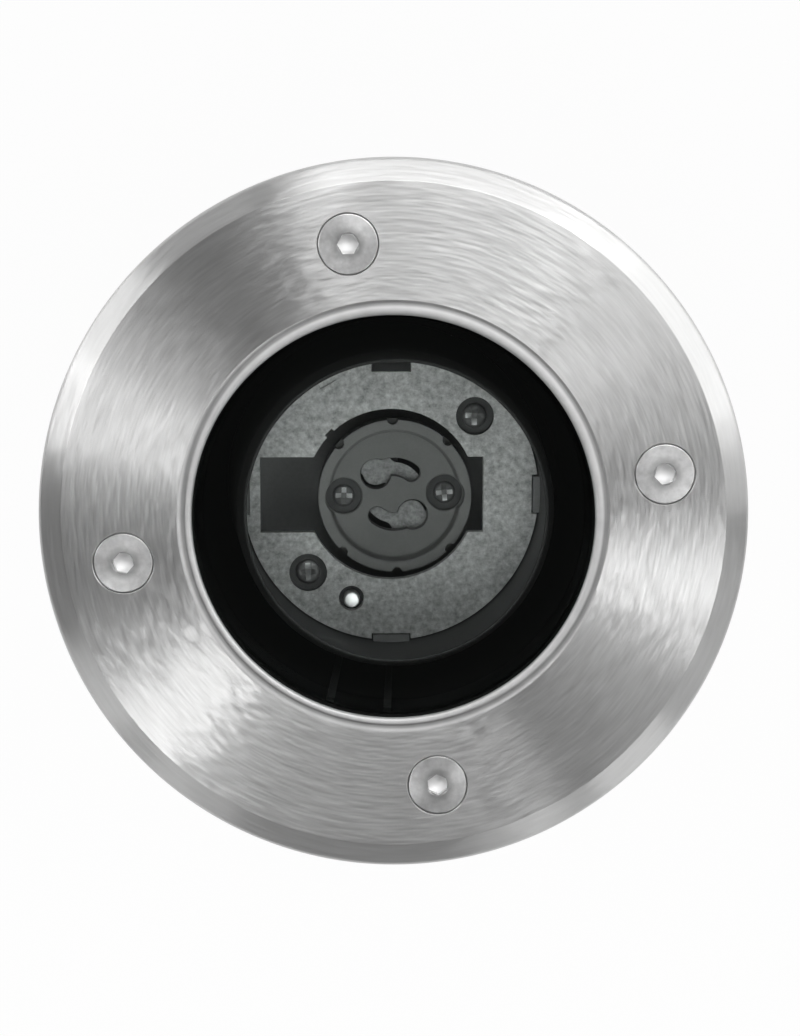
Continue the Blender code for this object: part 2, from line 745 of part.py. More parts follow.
def make_tube(frame):
    """Flared shade tube with four hooks that hold it on the plate's edge."""
    plate_gap = PLATE_RADIUS + GAP
    mouth = TUBE_MOUTH_RADIUS + TUBE_MOUTH_WALL
    profile = [
        (TUBE_MOUTH_RADIUS + TUBE_EDGE_CHAMFER, TUBE_HEIGHT),
        (mouth - TUBE_EDGE_CHAMFER, TUBE_HEIGHT),
        (mouth, TUBE_HEIGHT - TUBE_EDGE_CHAMFER),
        (TUBE_BASE_RADIUS, TUBE_EDGE_CHAMFER),
        (TUBE_BASE_RADIUS - TUBE_EDGE_CHAMFER, 0),
        (TUBE_BASE_RADIUS - TUBE_BASE_WALL, 0),
        (plate_gap, PLATE_UNDER),
        (plate_gap, PLATE_TOP + GAP),
        (TUBE_MOUTH_RADIUS, TUBE_HEIGHT - TUBE_EDGE_CHAMFER),
    ]
    tube = plain_object("shade_tube", turned(profile, MIDDLE_STEPS))
    hooks = []
    for k in range(HOOK_COUNT):
        hooks.append(radial_plate(hook_outline(), HOOK_WIDTH, 2 * math.pi * k / HOOK_COUNT))
    combine(tube, "UNION", hooks)
    tube.parent = frame
    return finish(tube, BLACK, 0.5)


def hook_outline():
    """A hook's section: a lip above and a lip below the plate's notched edge."""
    root = (PLATE_RADIUS + GAP + tube_outside(PLATE_UNDER)) / 2
    bottom = NOTCH_RADIUS + GAP
    lip = bottom - HOOK_REACH
    above = PLATE_TOP + GAP
    below = PLATE_UNDER - GAP
    return [
        (root, above + HOOK_LIP), (lip, above + HOOK_LIP), (lip, above), (bottom, above),
        (bottom, below), (lip, below), (lip, below - HOOK_LIP), (root, below - HOOK_LIP),
    ]


def make_plate(frame):
    """Cast plate with a round hole, a long window, notches and two sunk screw holes."""
    low = PLATE_UNDER - OVERRUN
    high = PLATE_TOP + OVERRUN
    disc = [
        (0, PLATE_TOP), (PLATE_RADIUS, PLATE_TOP), (PLATE_RADIUS, PLATE_UNDER), (0, PLATE_UNDER),
    ]
    plate = plain_object("holder_plate", turned(disc, MIDDLE_STEPS))
    cuts = [
        rod(PLATE_HOLE_RADIUS, low, high, steps=MIDDLE_STEPS),
        rod(PIN_HOLE_RADIUS, low, high, around(PLATE_HOLE_RADIUS + PIN_ROOM, PIN_ANGLE)),
        edge_cut(SLIT_ANGLE, SLIT_WIDTH, PLATE_RADIUS - SLIT_DEPTH, PLATE_RADIUS + OVERRUN),
        edge_cut(
            NICK_ANGLE, NICK_WIDTH, PLATE_HOLE_RADIUS - OVERRUN, PLATE_HOLE_RADIUS + NICK_DEPTH,
        ),
    ]
    for k in range(HOOK_COUNT):
        depth = DEEP_NOTCH_DEPTH if k == 1 else NOTCH_DEPTH
        cuts.append(edge_cut(
            2 * math.pi * k / HOOK_COUNT, HOOK_WIDTH + NOTCH_WIDTH_ADD,
            PLATE_RADIUS - depth, PLATE_RADIUS + OVERRUN,
        ))
    left = WINDOW_LAND - PLATE_RADIUS
    right = PLATE_HOLE_RADIUS + WINDOW_SHOULDER
    cuts.append(box((left, -WINDOW_WIDTH / 2, low), (right, WINDOW_WIDTH / 2, high)))
    combine_each(plate, "DIFFERENCE", cuts)
    combine(plate, "DIFFERENCE", [screw_well(turn) for turn in (0, math.pi)])
    plate.parent = frame
    return finish(plate, (0.42, 0.42, 0.41), 0.75, 0.3)


def edge_cut(angle, width, inner, outer):
    """A straight-sided notch through the plate, between two radii."""
    bm = box(
        (inner, -width / 2, PLATE_UNDER - OVERRUN), (outer, width / 2, PLATE_TOP + OVERRUN),
    )
    bmesh.ops.rotate(bm, verts=bm.verts, matrix=Matrix.Rotation(angle, 3, "Z"))
    return bm


def screw_well(turn):
    """A sunk hole for one of the plate's two screws."""
    wide = PLATE_SCREW_HEAD_RADIUS + COUNTERBORE_GAP
    hole = PLATE_SCREW_RADIUS + COUNTERBORE_GAP
    ledge = PLATE_TOP - PLATE_SCREW_SINK
    top = PLATE_TOP + OVERRUN
    low = PLATE_UNDER - OVERRUN
    profile = [(0, top), (wide, top), (wide, ledge), (hole, ledge), (hole, low), (0, low)]
    bm = turned(profile, SMALL_STEPS)
    place = around(POST_CIRCLE, POST_AXIS_ANGLE + turn)
    bmesh.ops.translate(bm, verts=bm.verts, vec=(*place, 0))
    return bm


def pan_head(name, radius, head_radius, head_height, length):
    """A screw with a low domed head, whose seat is at its own origin."""
    edge = head_radius * HEAD_FLAT_SHARE
    profile = [
        (0, head_height),
        (edge, head_height),
        (head_radius, head_height * HEAD_SIDE_SHARE),
        (head_radius, 0),
        (radius, 0),
        (radius, -length),
        (0, -length),
    ]
    return plain_object(name, turned(profile, SMALL_STEPS))


def make_plate_screws(frame):
    """The two long screws through the plate and the base's bosses into the posts."""
    seat = PLATE_TOP - PLATE_SCREW_SINK + GAP
    for index, turn in enumerate((0, math.pi), start=1):
        screw = pan_head(
            f"plate_screw_{index}", PLATE_SCREW_RADIUS, PLATE_SCREW_HEAD_RADIUS,
            PLATE_SCREW_HEAD_HEIGHT, seat + PLATE_SCREW_BITE,
        )
        screw.location = (*around(POST_CIRCLE, POST_AXIS_ANGLE + turn), seat)
        screw.parent = frame
        finish(screw, STEEL, 0.3, 1.0)


def make_pin(frame):
    """Bright flanged pin that stands in the plate's small hole."""
    top = PLATE_TOP - PIN_SINK
    seat = PLATE_UNDER - GAP
    under = seat - PIN_FLANGE_THICKNESS
    profile = [
        (0, top), (PIN_RADIUS, top), (PIN_RADIUS, seat), (PIN_FLANGE_RADIUS, seat),
        (PIN_FLANGE_RADIUS, under), (0, under),
    ]
    pin = plain_object("plate_pin", turned(profile, SMALL_STEPS))
    pin.location = (*around(PLATE_HOLE_RADIUS + PIN_ROOM, PIN_ANGLE), 0)
    pin.parent = frame
    return finish(pin, (0.85, 0.85, 0.85), 0.35, 0.2)


def holder_profile():
    """The lampholder's section: a raised rim round a sunk face, a flange and a neck."""
    rim_inner = HOLDER_RADIUS - HOLDER_RIM_WIDTH
    neck = HOLDER_RADIUS - HOLDER_NECK_STEP
    step = RIM_TOP - HOLDER_FLANGE_HEIGHT
    return [
        (0, FACE_Z),
        (rim_inner, FACE_Z),
        (rim_inner + HOLDER_EDGE_CHAMFER, RIM_TOP - HOLDER_EDGE_CHAMFER),
        (rim_inner + 2 * HOLDER_EDGE_CHAMFER, RIM_TOP),
        (HOLDER_RADIUS - HOLDER_EDGE_CHAMFER, RIM_TOP),
        (HOLDER_RADIUS, RIM_TOP - HOLDER_EDGE_CHAMFER),
        (HOLDER_RADIUS, step),
        (neck, step),
        (neck, HOLDER_UNDER),
        (0, HOLDER_UNDER),
    ]


def make_holder(frame):
    """Ceramic lampholder with two keyhole slots, a pocket under each and six rim notches."""
    holder = plain_object("lampholder_body", turned(holder_profile(), MIDDLE_STEPS))
    for turn in (0, math.pi):
        combine_each(holder, "DIFFERENCE", [keyhole_channel(turn), keyhole_mouth(turn), pocket(turn)])
    notches = []
    for angle in RIM_NOTCH_ANGLES:
        place = around(HOLDER_RADIUS, angle)
        low = RIM_TOP - HOLDER_FLANGE_HEIGHT / 2
        notches.append(rod(RIM_NOTCH_RADIUS, low, RIM_TOP + OVERRUN, place, TINY_STEPS))
    combine(holder, "DIFFERENCE", notches)
    combine(holder, "DIFFERENCE", [holder_screw_hole(side) for side in (-1, 1)])
    holder.parent = frame
    return finish(holder, (0.30, 0.30, 0.29), 0.6)


def keyhole_channel(turn):
    """The narrow, bent part of a slot, which a lamp's pin turns along."""
    return bent_slot(
        PIN_CIRCLE, SLOT_NARROW_RADIUS, SLOT_START + turn, SLOT_END + turn,
        POCKET_TOP - OVERRUN, FACE_Z + OVERRUN,
    )


def keyhole_mouth(turn):
    """The wide, round end of a slot, which a lamp's pin goes in by."""
    place = around(PIN_CIRCLE, SLOT_START + turn)
    return rod(SLOT_WIDE_RADIUS, POCKET_TOP - OVERRUN, FACE_Z + OVERRUN, place, SMALL_STEPS)


def pocket(turn):
    """The space for a contact, open underneath."""
    half = POCKET_LENGTH / 2
    bm = box((-half, POCKET_INNER, HOLDER_UNDER - OVERRUN), (half, POCKET_OUTER, POCKET_TOP))
    bmesh.ops.rotate(bm, verts=bm.verts, matrix=Matrix.Rotation(turn, 3, "Z"))
    return bm


def holder_screw_hole(side):
    """A sunk hole for one of the lampholder's two screws."""
    wide = HOLDER_SCREW_HEAD_RADIUS + HOLDER_COUNTERBORE_GAP
    hole = HOLDER_SCREW_RADIUS + GAP
    ledge = FACE_Z - HOLDER_SCREW_SINK
    top = RIM_TOP + OVERRUN
    low = HOLDER_UNDER - OVERRUN
    profile = [(0, top), (wide, top), (wide, ledge), (hole, ledge), (hole, low), (0, low)]
    bm = turned(profile, SMALL_STEPS)
    bmesh.ops.translate(bm, verts=bm.verts, vec=(side * HOLDER_SCREW_OFFSET, 0, 0))
    return bm


def make_holder_screws(frame):
    """The two screws that hold the lampholder on the insert's base, each with its nut."""
    seat = FACE_Z - HOLDER_SCREW_SINK + GAP
    nut_low = -GAP - HOLDER_NUT_HEIGHT
    for index, side in enumerate((-1, 1), start=1):
        screw = pan_head(
            f"holder_screw_{index}", HOLDER_SCREW_RADIUS, HOLDER_SCREW_HEAD_RADIUS,
            HOLDER_SCREW_HEAD_HEIGHT, seat - nut_low + GAP,
        )
        screw.location = (side * HOLDER_SCREW_OFFSET, 0, seat)
        screw.parent = frame
        finish(screw, STEEL, 0.3, 1.0)
        bore = HOLDER_SCREW_RADIUS + GAP
        ring = pierced_hexagon(HOLDER_NUT_FLATS, nut_low, -GAP, bore, TINY_STEPS)
        nut = plain_object(f"holder_nut_{index}", ring)
        nut.location = (side * HOLDER_SCREW_OFFSET, 0, 0)
        nut.parent = frame
        finish(nut, STEEL, 0.35, 1.0)


def through_holes(low, high):
    """Cutters for the two screws and the two leads, through what lies under the holder."""
    screw = HOLDER_SCREW_RADIUS + GAP
    lead = LEAD_RADIUS + LEAD_HOLE_GAP
    shapes = []
    for side in (-1, 1):
        shapes.append(rod(screw, low, high, (side * HOLDER_SCREW_OFFSET, 0), TINY_STEPS))
        shapes.append(rod(lead, low, high, (0, side * LEAD_PLACE), TINY_STEPS))
    return shapes


def make_holder_base(frame):
    """Insulating disc that closes the lampholder underneath."""
    base = plain_object(
        "lampholder_base", rod(HOLDER_BASE_RADIUS, PAD_UNDER, PAD_TOP, steps=NUT_STEPS),
    )
    combine(base, "DIFFERENCE", through_holes(PAD_UNDER - OVERRUN, PAD_TOP + OVERRUN))
    base.parent = frame
    return finish(base, (0.75, 0.72, 0.66), 0.7)


def make_contacts(frame):
    """Bent spring strips: a flat under each slot and a leg down the pocket's outer side."""
    half = POCKET_LENGTH / 2 - GAP
    top = POCKET_TOP - GAP
    inner = POCKET_INNER + GAP
    outer = POCKET_OUTER - GAP
    section = [
        (inner, top), (outer, top), (outer, top - CONTACT_LEG_DROP),
        (outer - CONTACT_THICKNESS, top - CONTACT_LEG_DROP),
        (outer - CONTACT_THICKNESS, top - CONTACT_THICKNESS), (inner, top - CONTACT_THICKNESS),
    ]
    for index, turn in enumerate((0, math.pi), start=1):
        bm = radial_plate(section, 2 * half, math.pi / 2 + turn)
        contact = plain_object(f"contact_{index}", bm)
        contact.parent = frame
        finish(contact, BRASS, 0.3, 1.0)


def make_insert_base(frame):
    """Moulded floor of the insert, with a boss up to the plate round each plate screw."""
    radius = TUBE_BASE_RADIUS - TUBE_BASE_WALL - 2 * GAP
    profile = [(0, BASE_FLOOR_THICKNESS), (radius, BASE_FLOOR_THICKNESS), (radius, 0), (0, 0)]
    base = plain_object("insert_base", turned(profile, MIDDLE_STEPS))
    bosses = []
    bores = []
    hole = PLATE_SCREW_RADIUS + GAP
    for turn in (0, math.pi):
        place = around(POST_CIRCLE, POST_AXIS_ANGLE + turn)
        bosses.append(rod(POST_RADIUS, BASE_FLOOR_THICKNESS - EMBED, PLATE_UNDER - GAP, place))
        bores.append(rod(hole, -OVERRUN, PLATE_UNDER + OVERRUN, place, TINY_STEPS))
    combine(base, "UNION", bosses)
    turn = Matrix.Translation((*HOLDER_SHIFT, 0)) @ Matrix.Rotation(HOLDER_TURN, 4, "Z")
    for bm in through_holes(-OVERRUN, BASE_FLOOR_THICKNESS + OVERRUN):
        bmesh.ops.transform(bm, matrix=turn, verts=bm.verts)
        bores.append(bm)
    combine(base, "DIFFERENCE", bores)
    base.parent = frame
    return finish(base, BLACK, 0.5)


def smooth_route(points, step):
    """Points at even steps along a smooth curve through the given points."""
    ends = [points[0] * 2 - points[1]] + points + [points[-1] * 2 - points[-2]]
    fine = []
    for k in range(1, len(ends) - 2):
        a, b, c, d = ends[k - 1:k + 3]
        for j in range(LEAD_CURVE_PIECES):
            t = j / LEAD_CURVE_PIECES
            blend = (b * 2 + (c - a) * t + (a * 2 - b * 5 + c * 4 - d) * t ** 2
                     + (b * 3 - a - c * 3 + d) * t ** 3)
            fine.append(blend / 2)
    fine.append(points[-1])
    total = sum((q - p).length for p, q in zip(fine, fine[1:]))
    count = max(2, round(total / step))
    route = [fine[0]]
    walked = 0
    for p, q in zip(fine, fine[1:]):
        walked += (q - p).length
        if walked >= total * len(route) / count and len(route) < count:
            route.append(q)
    return route + [fine[-1]]


def make_leads(frame):
    """The two leads, each from its contact down to a pole of the terminal block."""
    under_contact = POCKET_TOP - GAP - CONTACT_THICKNESS - GAP
    bend_z = (INSERT_Z + BARREL_Z) / 2
    for index, side in enumerate((1, -1), start=1):
        world = frame.matrix_world
        top = world @ Vector((0, side * LEAD_PLACE, under_contact))
        low = world @ Vector((0, side * LEAD_PLACE, -LEAD_POINT_STEP))
        pole = BLOCK_CENTRE[0] + side * POLE_PITCH
        mouth = BLOCK_FRONT - BARREL_RECESS
        middle = Vector(((low.x + pole) / 2, (low.y + mouth) / 2 + LEAD_BELLY, bend_z))
        points = [
            top,
            (top + low) / 2,
            low,
            middle,
            Vector((pole, mouth + LEAD_APPROACH, BARREL_Z + LEAD_RADIUS)),
            Vector((pole, mouth + LEAD_RADIUS, BARREL_Z)),
            Vector((pole, mouth - LEAD_ENTRY, BARREL_Z)),
        ]
        route = smooth_route(points, LEAD_POINT_STEP)
        curve = bpy.data.curves.new(f"lead_{index}", "CURVE")
        curve.dimensions = "3D"
        curve.bevel_depth = LEAD_RADIUS
        curve.bevel_resolution = LEAD_SECTION_STEPS
        curve.use_fill_caps = True
        spline = curve.splines.new("POLY")
        spline.points.add(len(route) - 1)
        for point, place in zip(spline.points, route):
            point.co = (*place, 1)
        lead = bpy.data.objects.new(f"lead_{index}", curve)
        bpy.context.scene.collection.objects.link(lead)
        finish(lead, (0.30, 0.12, 0.06), 0.5)


def lie_along_y(bm, place):
    """Lay an upright shape along +Y and move it."""
    lay = Matrix.Rotation(-math.pi / 2, 4, "X")
    bmesh.ops.transform(bm, matrix=Matrix.Translation(place) @ lay, verts=bm.verts)
    return bm


def pole_places():
    """The X of each pole of the terminal block."""
    middle = (POLE_COUNT - 1) / 2
    return [BLOCK_CENTRE[0] + (k - middle) * POLE_PITCH for k in range(POLE_COUNT)]


def terminal_screw_places():
    """The (x, y) of each terminal screw, two on every pole."""
    y0 = BLOCK_CENTRE[1]
    half = TERMINAL_SCREW_SPREAD / 2
    return [(x, y0 + side * half) for x in pole_places() for side in (1, -1)]


def make_terminal_block():
    """Three-pole block with a bore for each barrel and a well for each screw."""
    x0, y0 = BLOCK_CENTRE
    low = (x0 - BLOCK_WIDTH / 2, y0 - BLOCK_DEPTH / 2, BLOCK_UNDER)
    high = (x0 + BLOCK_WIDTH / 2, y0 + BLOCK_DEPTH / 2, BLOCK_UNDER + BLOCK_HEIGHT)
    block = plain_object("terminal_block", box(low, high))
    reach = BLOCK_DEPTH / 2 + OVERRUN
    bores = []
    for x in pole_places():
        bores.append(lie_along_y(rod(BARREL_RADIUS + GAP, -reach, reach), (x, y0, BARREL_Z)))
    combine(block, "DIFFERENCE", bores)
    well = TERMINAL_SCREW_RADIUS + GAP
    wells = []
    for place in terminal_screw_places():
        wells.append(rod(well, BARREL_Z, high[2] + OVERRUN, place, TINY_STEPS))
    combine(block, "DIFFERENCE", wells)
    return finish(block, WHITE, 0.5)


def make_barrels():
    """A brass barrel in each pole, with its two threaded holes."""
    y0 = BLOCK_CENTRE[1]
    half = BLOCK_DEPTH / 2 - BARREL_RECESS
    for index, x in enumerate(pole_places(), start=1):
        profile = [
            (BARREL_BORE, half), (BARREL_RADIUS, half), (BARREL_RADIUS, -half), (BARREL_BORE, -half),
        ]
        bm = lie_along_y(turned(profile, SMALL_STEPS), (x, y0, BARREL_Z))
        barrel = plain_object(f"terminal_barrel_{index}", bm)
        holes = []
        for sx, sy in terminal_screw_places():
            if sx == x:
                top = BARREL_Z + BARREL_RADIUS + OVERRUN
                holes.append(rod(TERMINAL_SCREW_RADIUS + GAP, BARREL_Z, top, (sx, sy), TINY_STEPS))
        combine(barrel, "DIFFERENCE", holes)
        finish(barrel, BRASS, 0.3, 1.0)


def make_terminal_screws():
    """The grub screws, each on top of the wire's space in its barrel."""
    top = BLOCK_UNDER + BLOCK_HEIGHT - TERMINAL_SCREW_SINK
    low = BARREL_Z + LEAD_RADIUS + GAP
    for index, place in enumerate(terminal_screw_places(), start=1):
        bm = rod(TERMINAL_SCREW_RADIUS, low, top, place, TINY_STEPS)
        finish(plain_object(f"terminal_screw_{index}", bm), STEEL, 0.35, 1.0)


def make_gland():
    """Cable gland through the floor: washer, body, locknut, seal and cap nut."""
    washer_top = FLOOR_HEIGHT - GAP
    washer_under = washer_top - GLAND_WASHER_THICKNESS
    hex_top = washer_under - GAP
    hex_under = hex_top - GLAND_HEX_HEIGHT
    neck_under = hex_under - GLAND_NECK_LENGTH
    throat = GLAND_NECK_RADIUS - GLAND_NECK_WALL
    body_top = FLOOR_TOP + GLAND_TOP_RISE
    washer = [
        (GLAND_RADIUS + GAP, washer_top), (GLAND_WASHER_RADIUS, washer_top),
        (GLAND_WASHER_RADIUS, washer_under), (GLAND_RADIUS + GAP, washer_under),
    ]
    finish(plain_object("gland_washer", turned(washer, NUT_STEPS)), BLACK, 0.7)

    tube = [
        (GLAND_BORE, body_top), (GLAND_RADIUS, body_top), (GLAND_RADIUS, hex_under + EMBED),
        (GLAND_NECK_RADIUS, hex_under + EMBED), (GLAND_NECK_RADIUS, neck_under),
        (throat, neck_under), (throat, hex_under), (GLAND_BORE, hex_under),
    ]
    body = plain_object("gland_body", turned(tube, NUT_STEPS))
    collar = pierced_hexagon(GLAND_HEX_FLATS, hex_under, hex_top, GLAND_BORE + EMBED, NUT_STEPS)
    combine(body, "UNION", [collar])
    finish(body, BLACK, 0.5)

    nut_low = FLOOR_TOP + GAP
    nut = plain_object("gland_locknut", hexagon(LOCKNUT_FLATS, nut_low, nut_low + LOCKNUT_HEIGHT))
    nut_high = nut_low + LOCKNUT_HEIGHT + OVERRUN
    hole = rod(GLAND_RADIUS + GAP, nut_low - OVERRUN, nut_high, steps=NUT_STEPS)
    combine(nut, "DIFFERENCE", [hole])
    finish(nut, BLACK, 0.5)

    cap_top = hex_under - GAP
    cap_under = cap_top - CAP_LENGTH
    make_cap_nut(cap_top, cap_under)

    seal_low = cap_under + CAP_FLOOR + GAP
    seal = [
        (SEAL_BORE, seal_low + SEAL_LENGTH), (throat - GAP, seal_low + SEAL_LENGTH),
        (throat - GAP, seal_low), (SEAL_BORE, seal_low),
    ]
    finish(plain_object("gland_seal", turned(seal, SMALL_STEPS)), BLACK, 0.8)


def pierced_hexagon(flats, low, high, bore, steps):
    """A hexagonal plate with a round hole, as one closed shape."""
    steps = 6 * math.ceil(steps / 6)
    bm = bmesh.new()
    rings = []
    for z in (low, high):
        inner = [bm.verts.new((*around(bore, 2 * math.pi * k / steps), z)) for k in range(steps)]
        outer = []
        for k in range(steps):
            angle = 2 * math.pi * k / steps
            side = (angle % (math.pi / 3)) - math.pi / 6
            outer.append(bm.verts.new((*around(flats / 2 / math.cos(side), angle), z)))
        rings.append((inner, outer))
    (in_low, out_low), (in_high, out_high) = rings
    for k in range(steps):
        j = (k + 1) % steps
        bm.faces.new((in_low[k], out_low[k], out_low[j], in_low[j]))
        bm.faces.new((in_high[k], in_high[j], out_high[j], out_high[k]))
        bm.faces.new((out_low[k], out_high[k], out_high[j], out_low[j]))
        bm.faces.new((in_low[k], in_low[j], in_high[j], in_high[k]))
    return bm


def make_cap_nut(top, under):
    """The gland's cap nut: a hexagon over a dome, turning on the gland's neck."""
    hexagon_under = under + CAP_DOME_LENGTH
    bore = GLAND_NECK_RADIUS + GAP
    ledge = under + CAP_FLOOR
    waist = CAP_FLATS / 2 - EMBED
    dome = [(SEAL_BORE, under), (SEAL_BORE, ledge), (bore, ledge), (bore, top - EMBED)]
    dome += [(waist, top - EMBED), (waist, hexagon_under)]
    for k in range(1, HALF_ROUND_STEPS + 1):
        turn = math.pi / 2 * k / HALF_ROUND_STEPS
        radius = CAP_DOME_RADIUS + (waist - CAP_DOME_RADIUS) * math.cos(turn)
        dome.append((radius, hexagon_under - CAP_DOME_LENGTH * math.sin(turn)))
    cap = plain_object("gland_cap_nut", turned(dome, NUT_STEPS))
    collar = pierced_hexagon(CAP_FLATS, hexagon_under, top, bore + EMBED, NUT_STEPS)
    combine(cap, "UNION", [collar])
    finish(cap, BLACK, 0.5)


def build():
    """Make every piece of the light."""
    clear_scene()
    make_pot()
    make_cover_ring()
    make_lens()
    make_gasket()
    for index, angle in enumerate(screw_places(), start=1):
        make_cover_screw(index, angle)
        make_threaded_insert(index, angle)
    frame = insert_frame()
    make_tube(frame)
    make_plate(frame)
    make_insert_base(frame)
    make_plate_screws(frame)
    make_pin(frame)
    holder = holder_frame(frame)
    bpy.context.view_layer.update()
    make_holder(holder)
    make_holder_base(holder)
    make_holder_screws(holder)
    make_contacts(holder)
    make_leads(holder)
    make_terminal_block()
    make_barrels()
    make_terminal_screws()
    make_gland()


build()
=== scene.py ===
# %% [markdown]
# # A round in-ground light, dressed for its picture
#
# The light stands in the ground, so people see it from above: a brushed steel cover with four
# screws, a thick glass, and under the glass a leaning insert with a grey cast plate and a
# ceramic lampholder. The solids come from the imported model. This lesson puts finer pieces and
# real finishes in their places, one step at a time.

# %% Load the fixed model
import math

import bmesh
import bpy
from mathutils import Matrix, Vector


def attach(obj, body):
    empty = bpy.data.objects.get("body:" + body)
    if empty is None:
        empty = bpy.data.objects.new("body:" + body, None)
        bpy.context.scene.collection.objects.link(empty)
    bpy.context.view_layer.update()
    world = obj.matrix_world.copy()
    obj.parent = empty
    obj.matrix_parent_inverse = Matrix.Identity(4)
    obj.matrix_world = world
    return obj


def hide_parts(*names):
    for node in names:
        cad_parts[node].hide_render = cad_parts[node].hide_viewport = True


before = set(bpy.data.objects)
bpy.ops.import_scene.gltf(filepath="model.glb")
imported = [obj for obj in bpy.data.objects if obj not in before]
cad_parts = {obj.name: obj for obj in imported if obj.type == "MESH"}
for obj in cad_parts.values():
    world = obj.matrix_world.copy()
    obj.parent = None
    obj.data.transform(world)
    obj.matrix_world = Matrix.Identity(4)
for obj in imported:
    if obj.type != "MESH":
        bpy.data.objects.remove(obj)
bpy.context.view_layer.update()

MM = 0.001

# %% [markdown]
# ## The camera
#
# The picture was taken from nearly straight above, from about 0.3 m: the deep pieces look
# smaller and sit higher in the picture than the cover does. Both facts fix the camera. Its
# distance comes from how much smaller the lampholder looks, and its tilt from how far it is
# shifted. The focal length then follows from the width of the cover. The lens also leans a
# little more than the line of sight does, as in a picture that was trimmed afterwards, so the
# middle of the picture is shifted back.

# %% Camera
COVER_TOP = 130 * MM
EYE_DISTANCE = 292.7 * MM
EYE_NORTH, EYE_EAST = math.radians(4.62), math.radians(0.295)
LENS_LEAN = math.radians(6.3)
FOCAL_PIXELS = 1901
LONG_SIDE_PIXELS = 1036
SENSOR = 36
SIDE_SHIFT_PIXELS, UP_SHIFT_PIXELS = -3.2, 56.6

lens_data = bpy.data.cameras.new("eye")
lens_data.sensor_width = SENSOR
lens_data.lens = SENSOR * FOCAL_PIXELS / LONG_SIDE_PIXELS
lens_data.shift_x = SIDE_SHIFT_PIXELS / LONG_SIDE_PIXELS
lens_data.shift_y = UP_SHIFT_PIXELS / LONG_SIDE_PIXELS
lens_data.clip_start = 10 * MM
eye = bpy.data.objects.new("eye", lens_data)
eye.location = (
    EYE_DISTANCE * math.sin(EYE_EAST), EYE_DISTANCE * math.sin(EYE_NORTH),
    COVER_TOP + EYE_DISTANCE * math.cos(EYE_NORTH),
)
eye.rotation_euler = (-LENS_LEAN, 0, 0)
bpy.context.scene.collection.objects.link(eye)
bpy.context.scene.camera = eye
bpy.context.scene.view_settings.view_transform = "Standard"
print("focal length (mm):", round(lens_data.lens, 1))

# %% [markdown]
# ## Shader sums in plain Python
#
# A procedural finish is mostly arithmetic: a noise times a number, a mask minus another. Wiring
# that up node by node hides the idea. So a socket is wrapped in a small class whose operators
# add the Math nodes, and every other node comes from one method.


# %% Shader helpers
class Wire:
    """An output socket that can be used in Python sums."""

    def __init__(self, finish, socket):
        self.finish = finish
        self.socket = socket

    def sum_with(self, operation, *values, clamp=False):
        settings = {"operation": operation, "use_clamp": clamp}
        return self.finish.node("ShaderNodeMath", settings, dict(enumerate(values)))

    def __add__(self, other):
        return self.sum_with("ADD", self, other)

    __radd__ = __add__

    def __mul__(self, other):
        return self.sum_with("MULTIPLY", self, other)

    __rmul__ = __mul__

    def __sub__(self, other):
        return self.sum_with("SUBTRACT", self, other)

    def __rsub__(self, other):
        return self.sum_with("SUBTRACT", other, self)

    def __truediv__(self, other):
        return self.sum_with("DIVIDE", self, other)

    def __pow__(self, other):
        return self.sum_with("POWER", self, other)

    def ramp(self, low, high, start=0.0, end=1.0):
        """Map low..high to start..end, smoothly, and hold the ends."""
        settings = {"interpolation_type": "SMOOTHSTEP", "clamp": True}
        return self.finish.node(
            "ShaderNodeMapRange", settings,
            {"Value": self, "From Min": low, "From Max": high, "To Min": start, "To Max": end},
            "Result",
        )


class Tree:
    """A node tree and the one method that adds nodes to it."""

    def __init__(self, tree):
        self.tree = tree

    def node(self, kind, settings=None, inputs=None, output=0):
        made = self.tree.nodes.new(kind)
        for name, value in (settings or {}).items():
            setattr(made, name, value)
        for name, value in (inputs or {}).items():
            self.feed(made.inputs[name], value)
        return Wire(self, made.outputs[output])

    def feed(self, socket, value):
        if isinstance(value, Wire):
            self.tree.links.new(value.socket, socket)
        elif isinstance(value, tuple) and socket.type == "RGBA":
            socket.default_value = (*value, 1.0)
        else:
            socket.default_value = value

    def split(self, vector):
        """The X, Y and Z of a vector."""
        made = self.node("ShaderNodeSeparateXYZ", None, {0: vector}).socket.node
        return [Wire(self, socket) for socket in made.outputs]

    def joined(self, x, y, z):
        return self.node("ShaderNodeCombineXYZ", None, {0: x, 1: y, 2: z})

    def noise(self, vector, scale, detail=2.0, roughness=0.5):
        inputs = {"Vector": vector, "Scale": scale, "Detail": detail, "Roughness": roughness}
        return self.node("ShaderNodeTexNoise", {"normalize": True}, inputs)

    def blend(self, factor, first, second):
        """A colour between two colours."""
        made = self.node("ShaderNodeMix", {"data_type": "RGBA"}).socket.node
        self.feed(made.inputs[0], factor)
        self.feed(made.inputs[6], first)
        self.feed(made.inputs[7], second)
        return Wire(self, made.outputs[2])


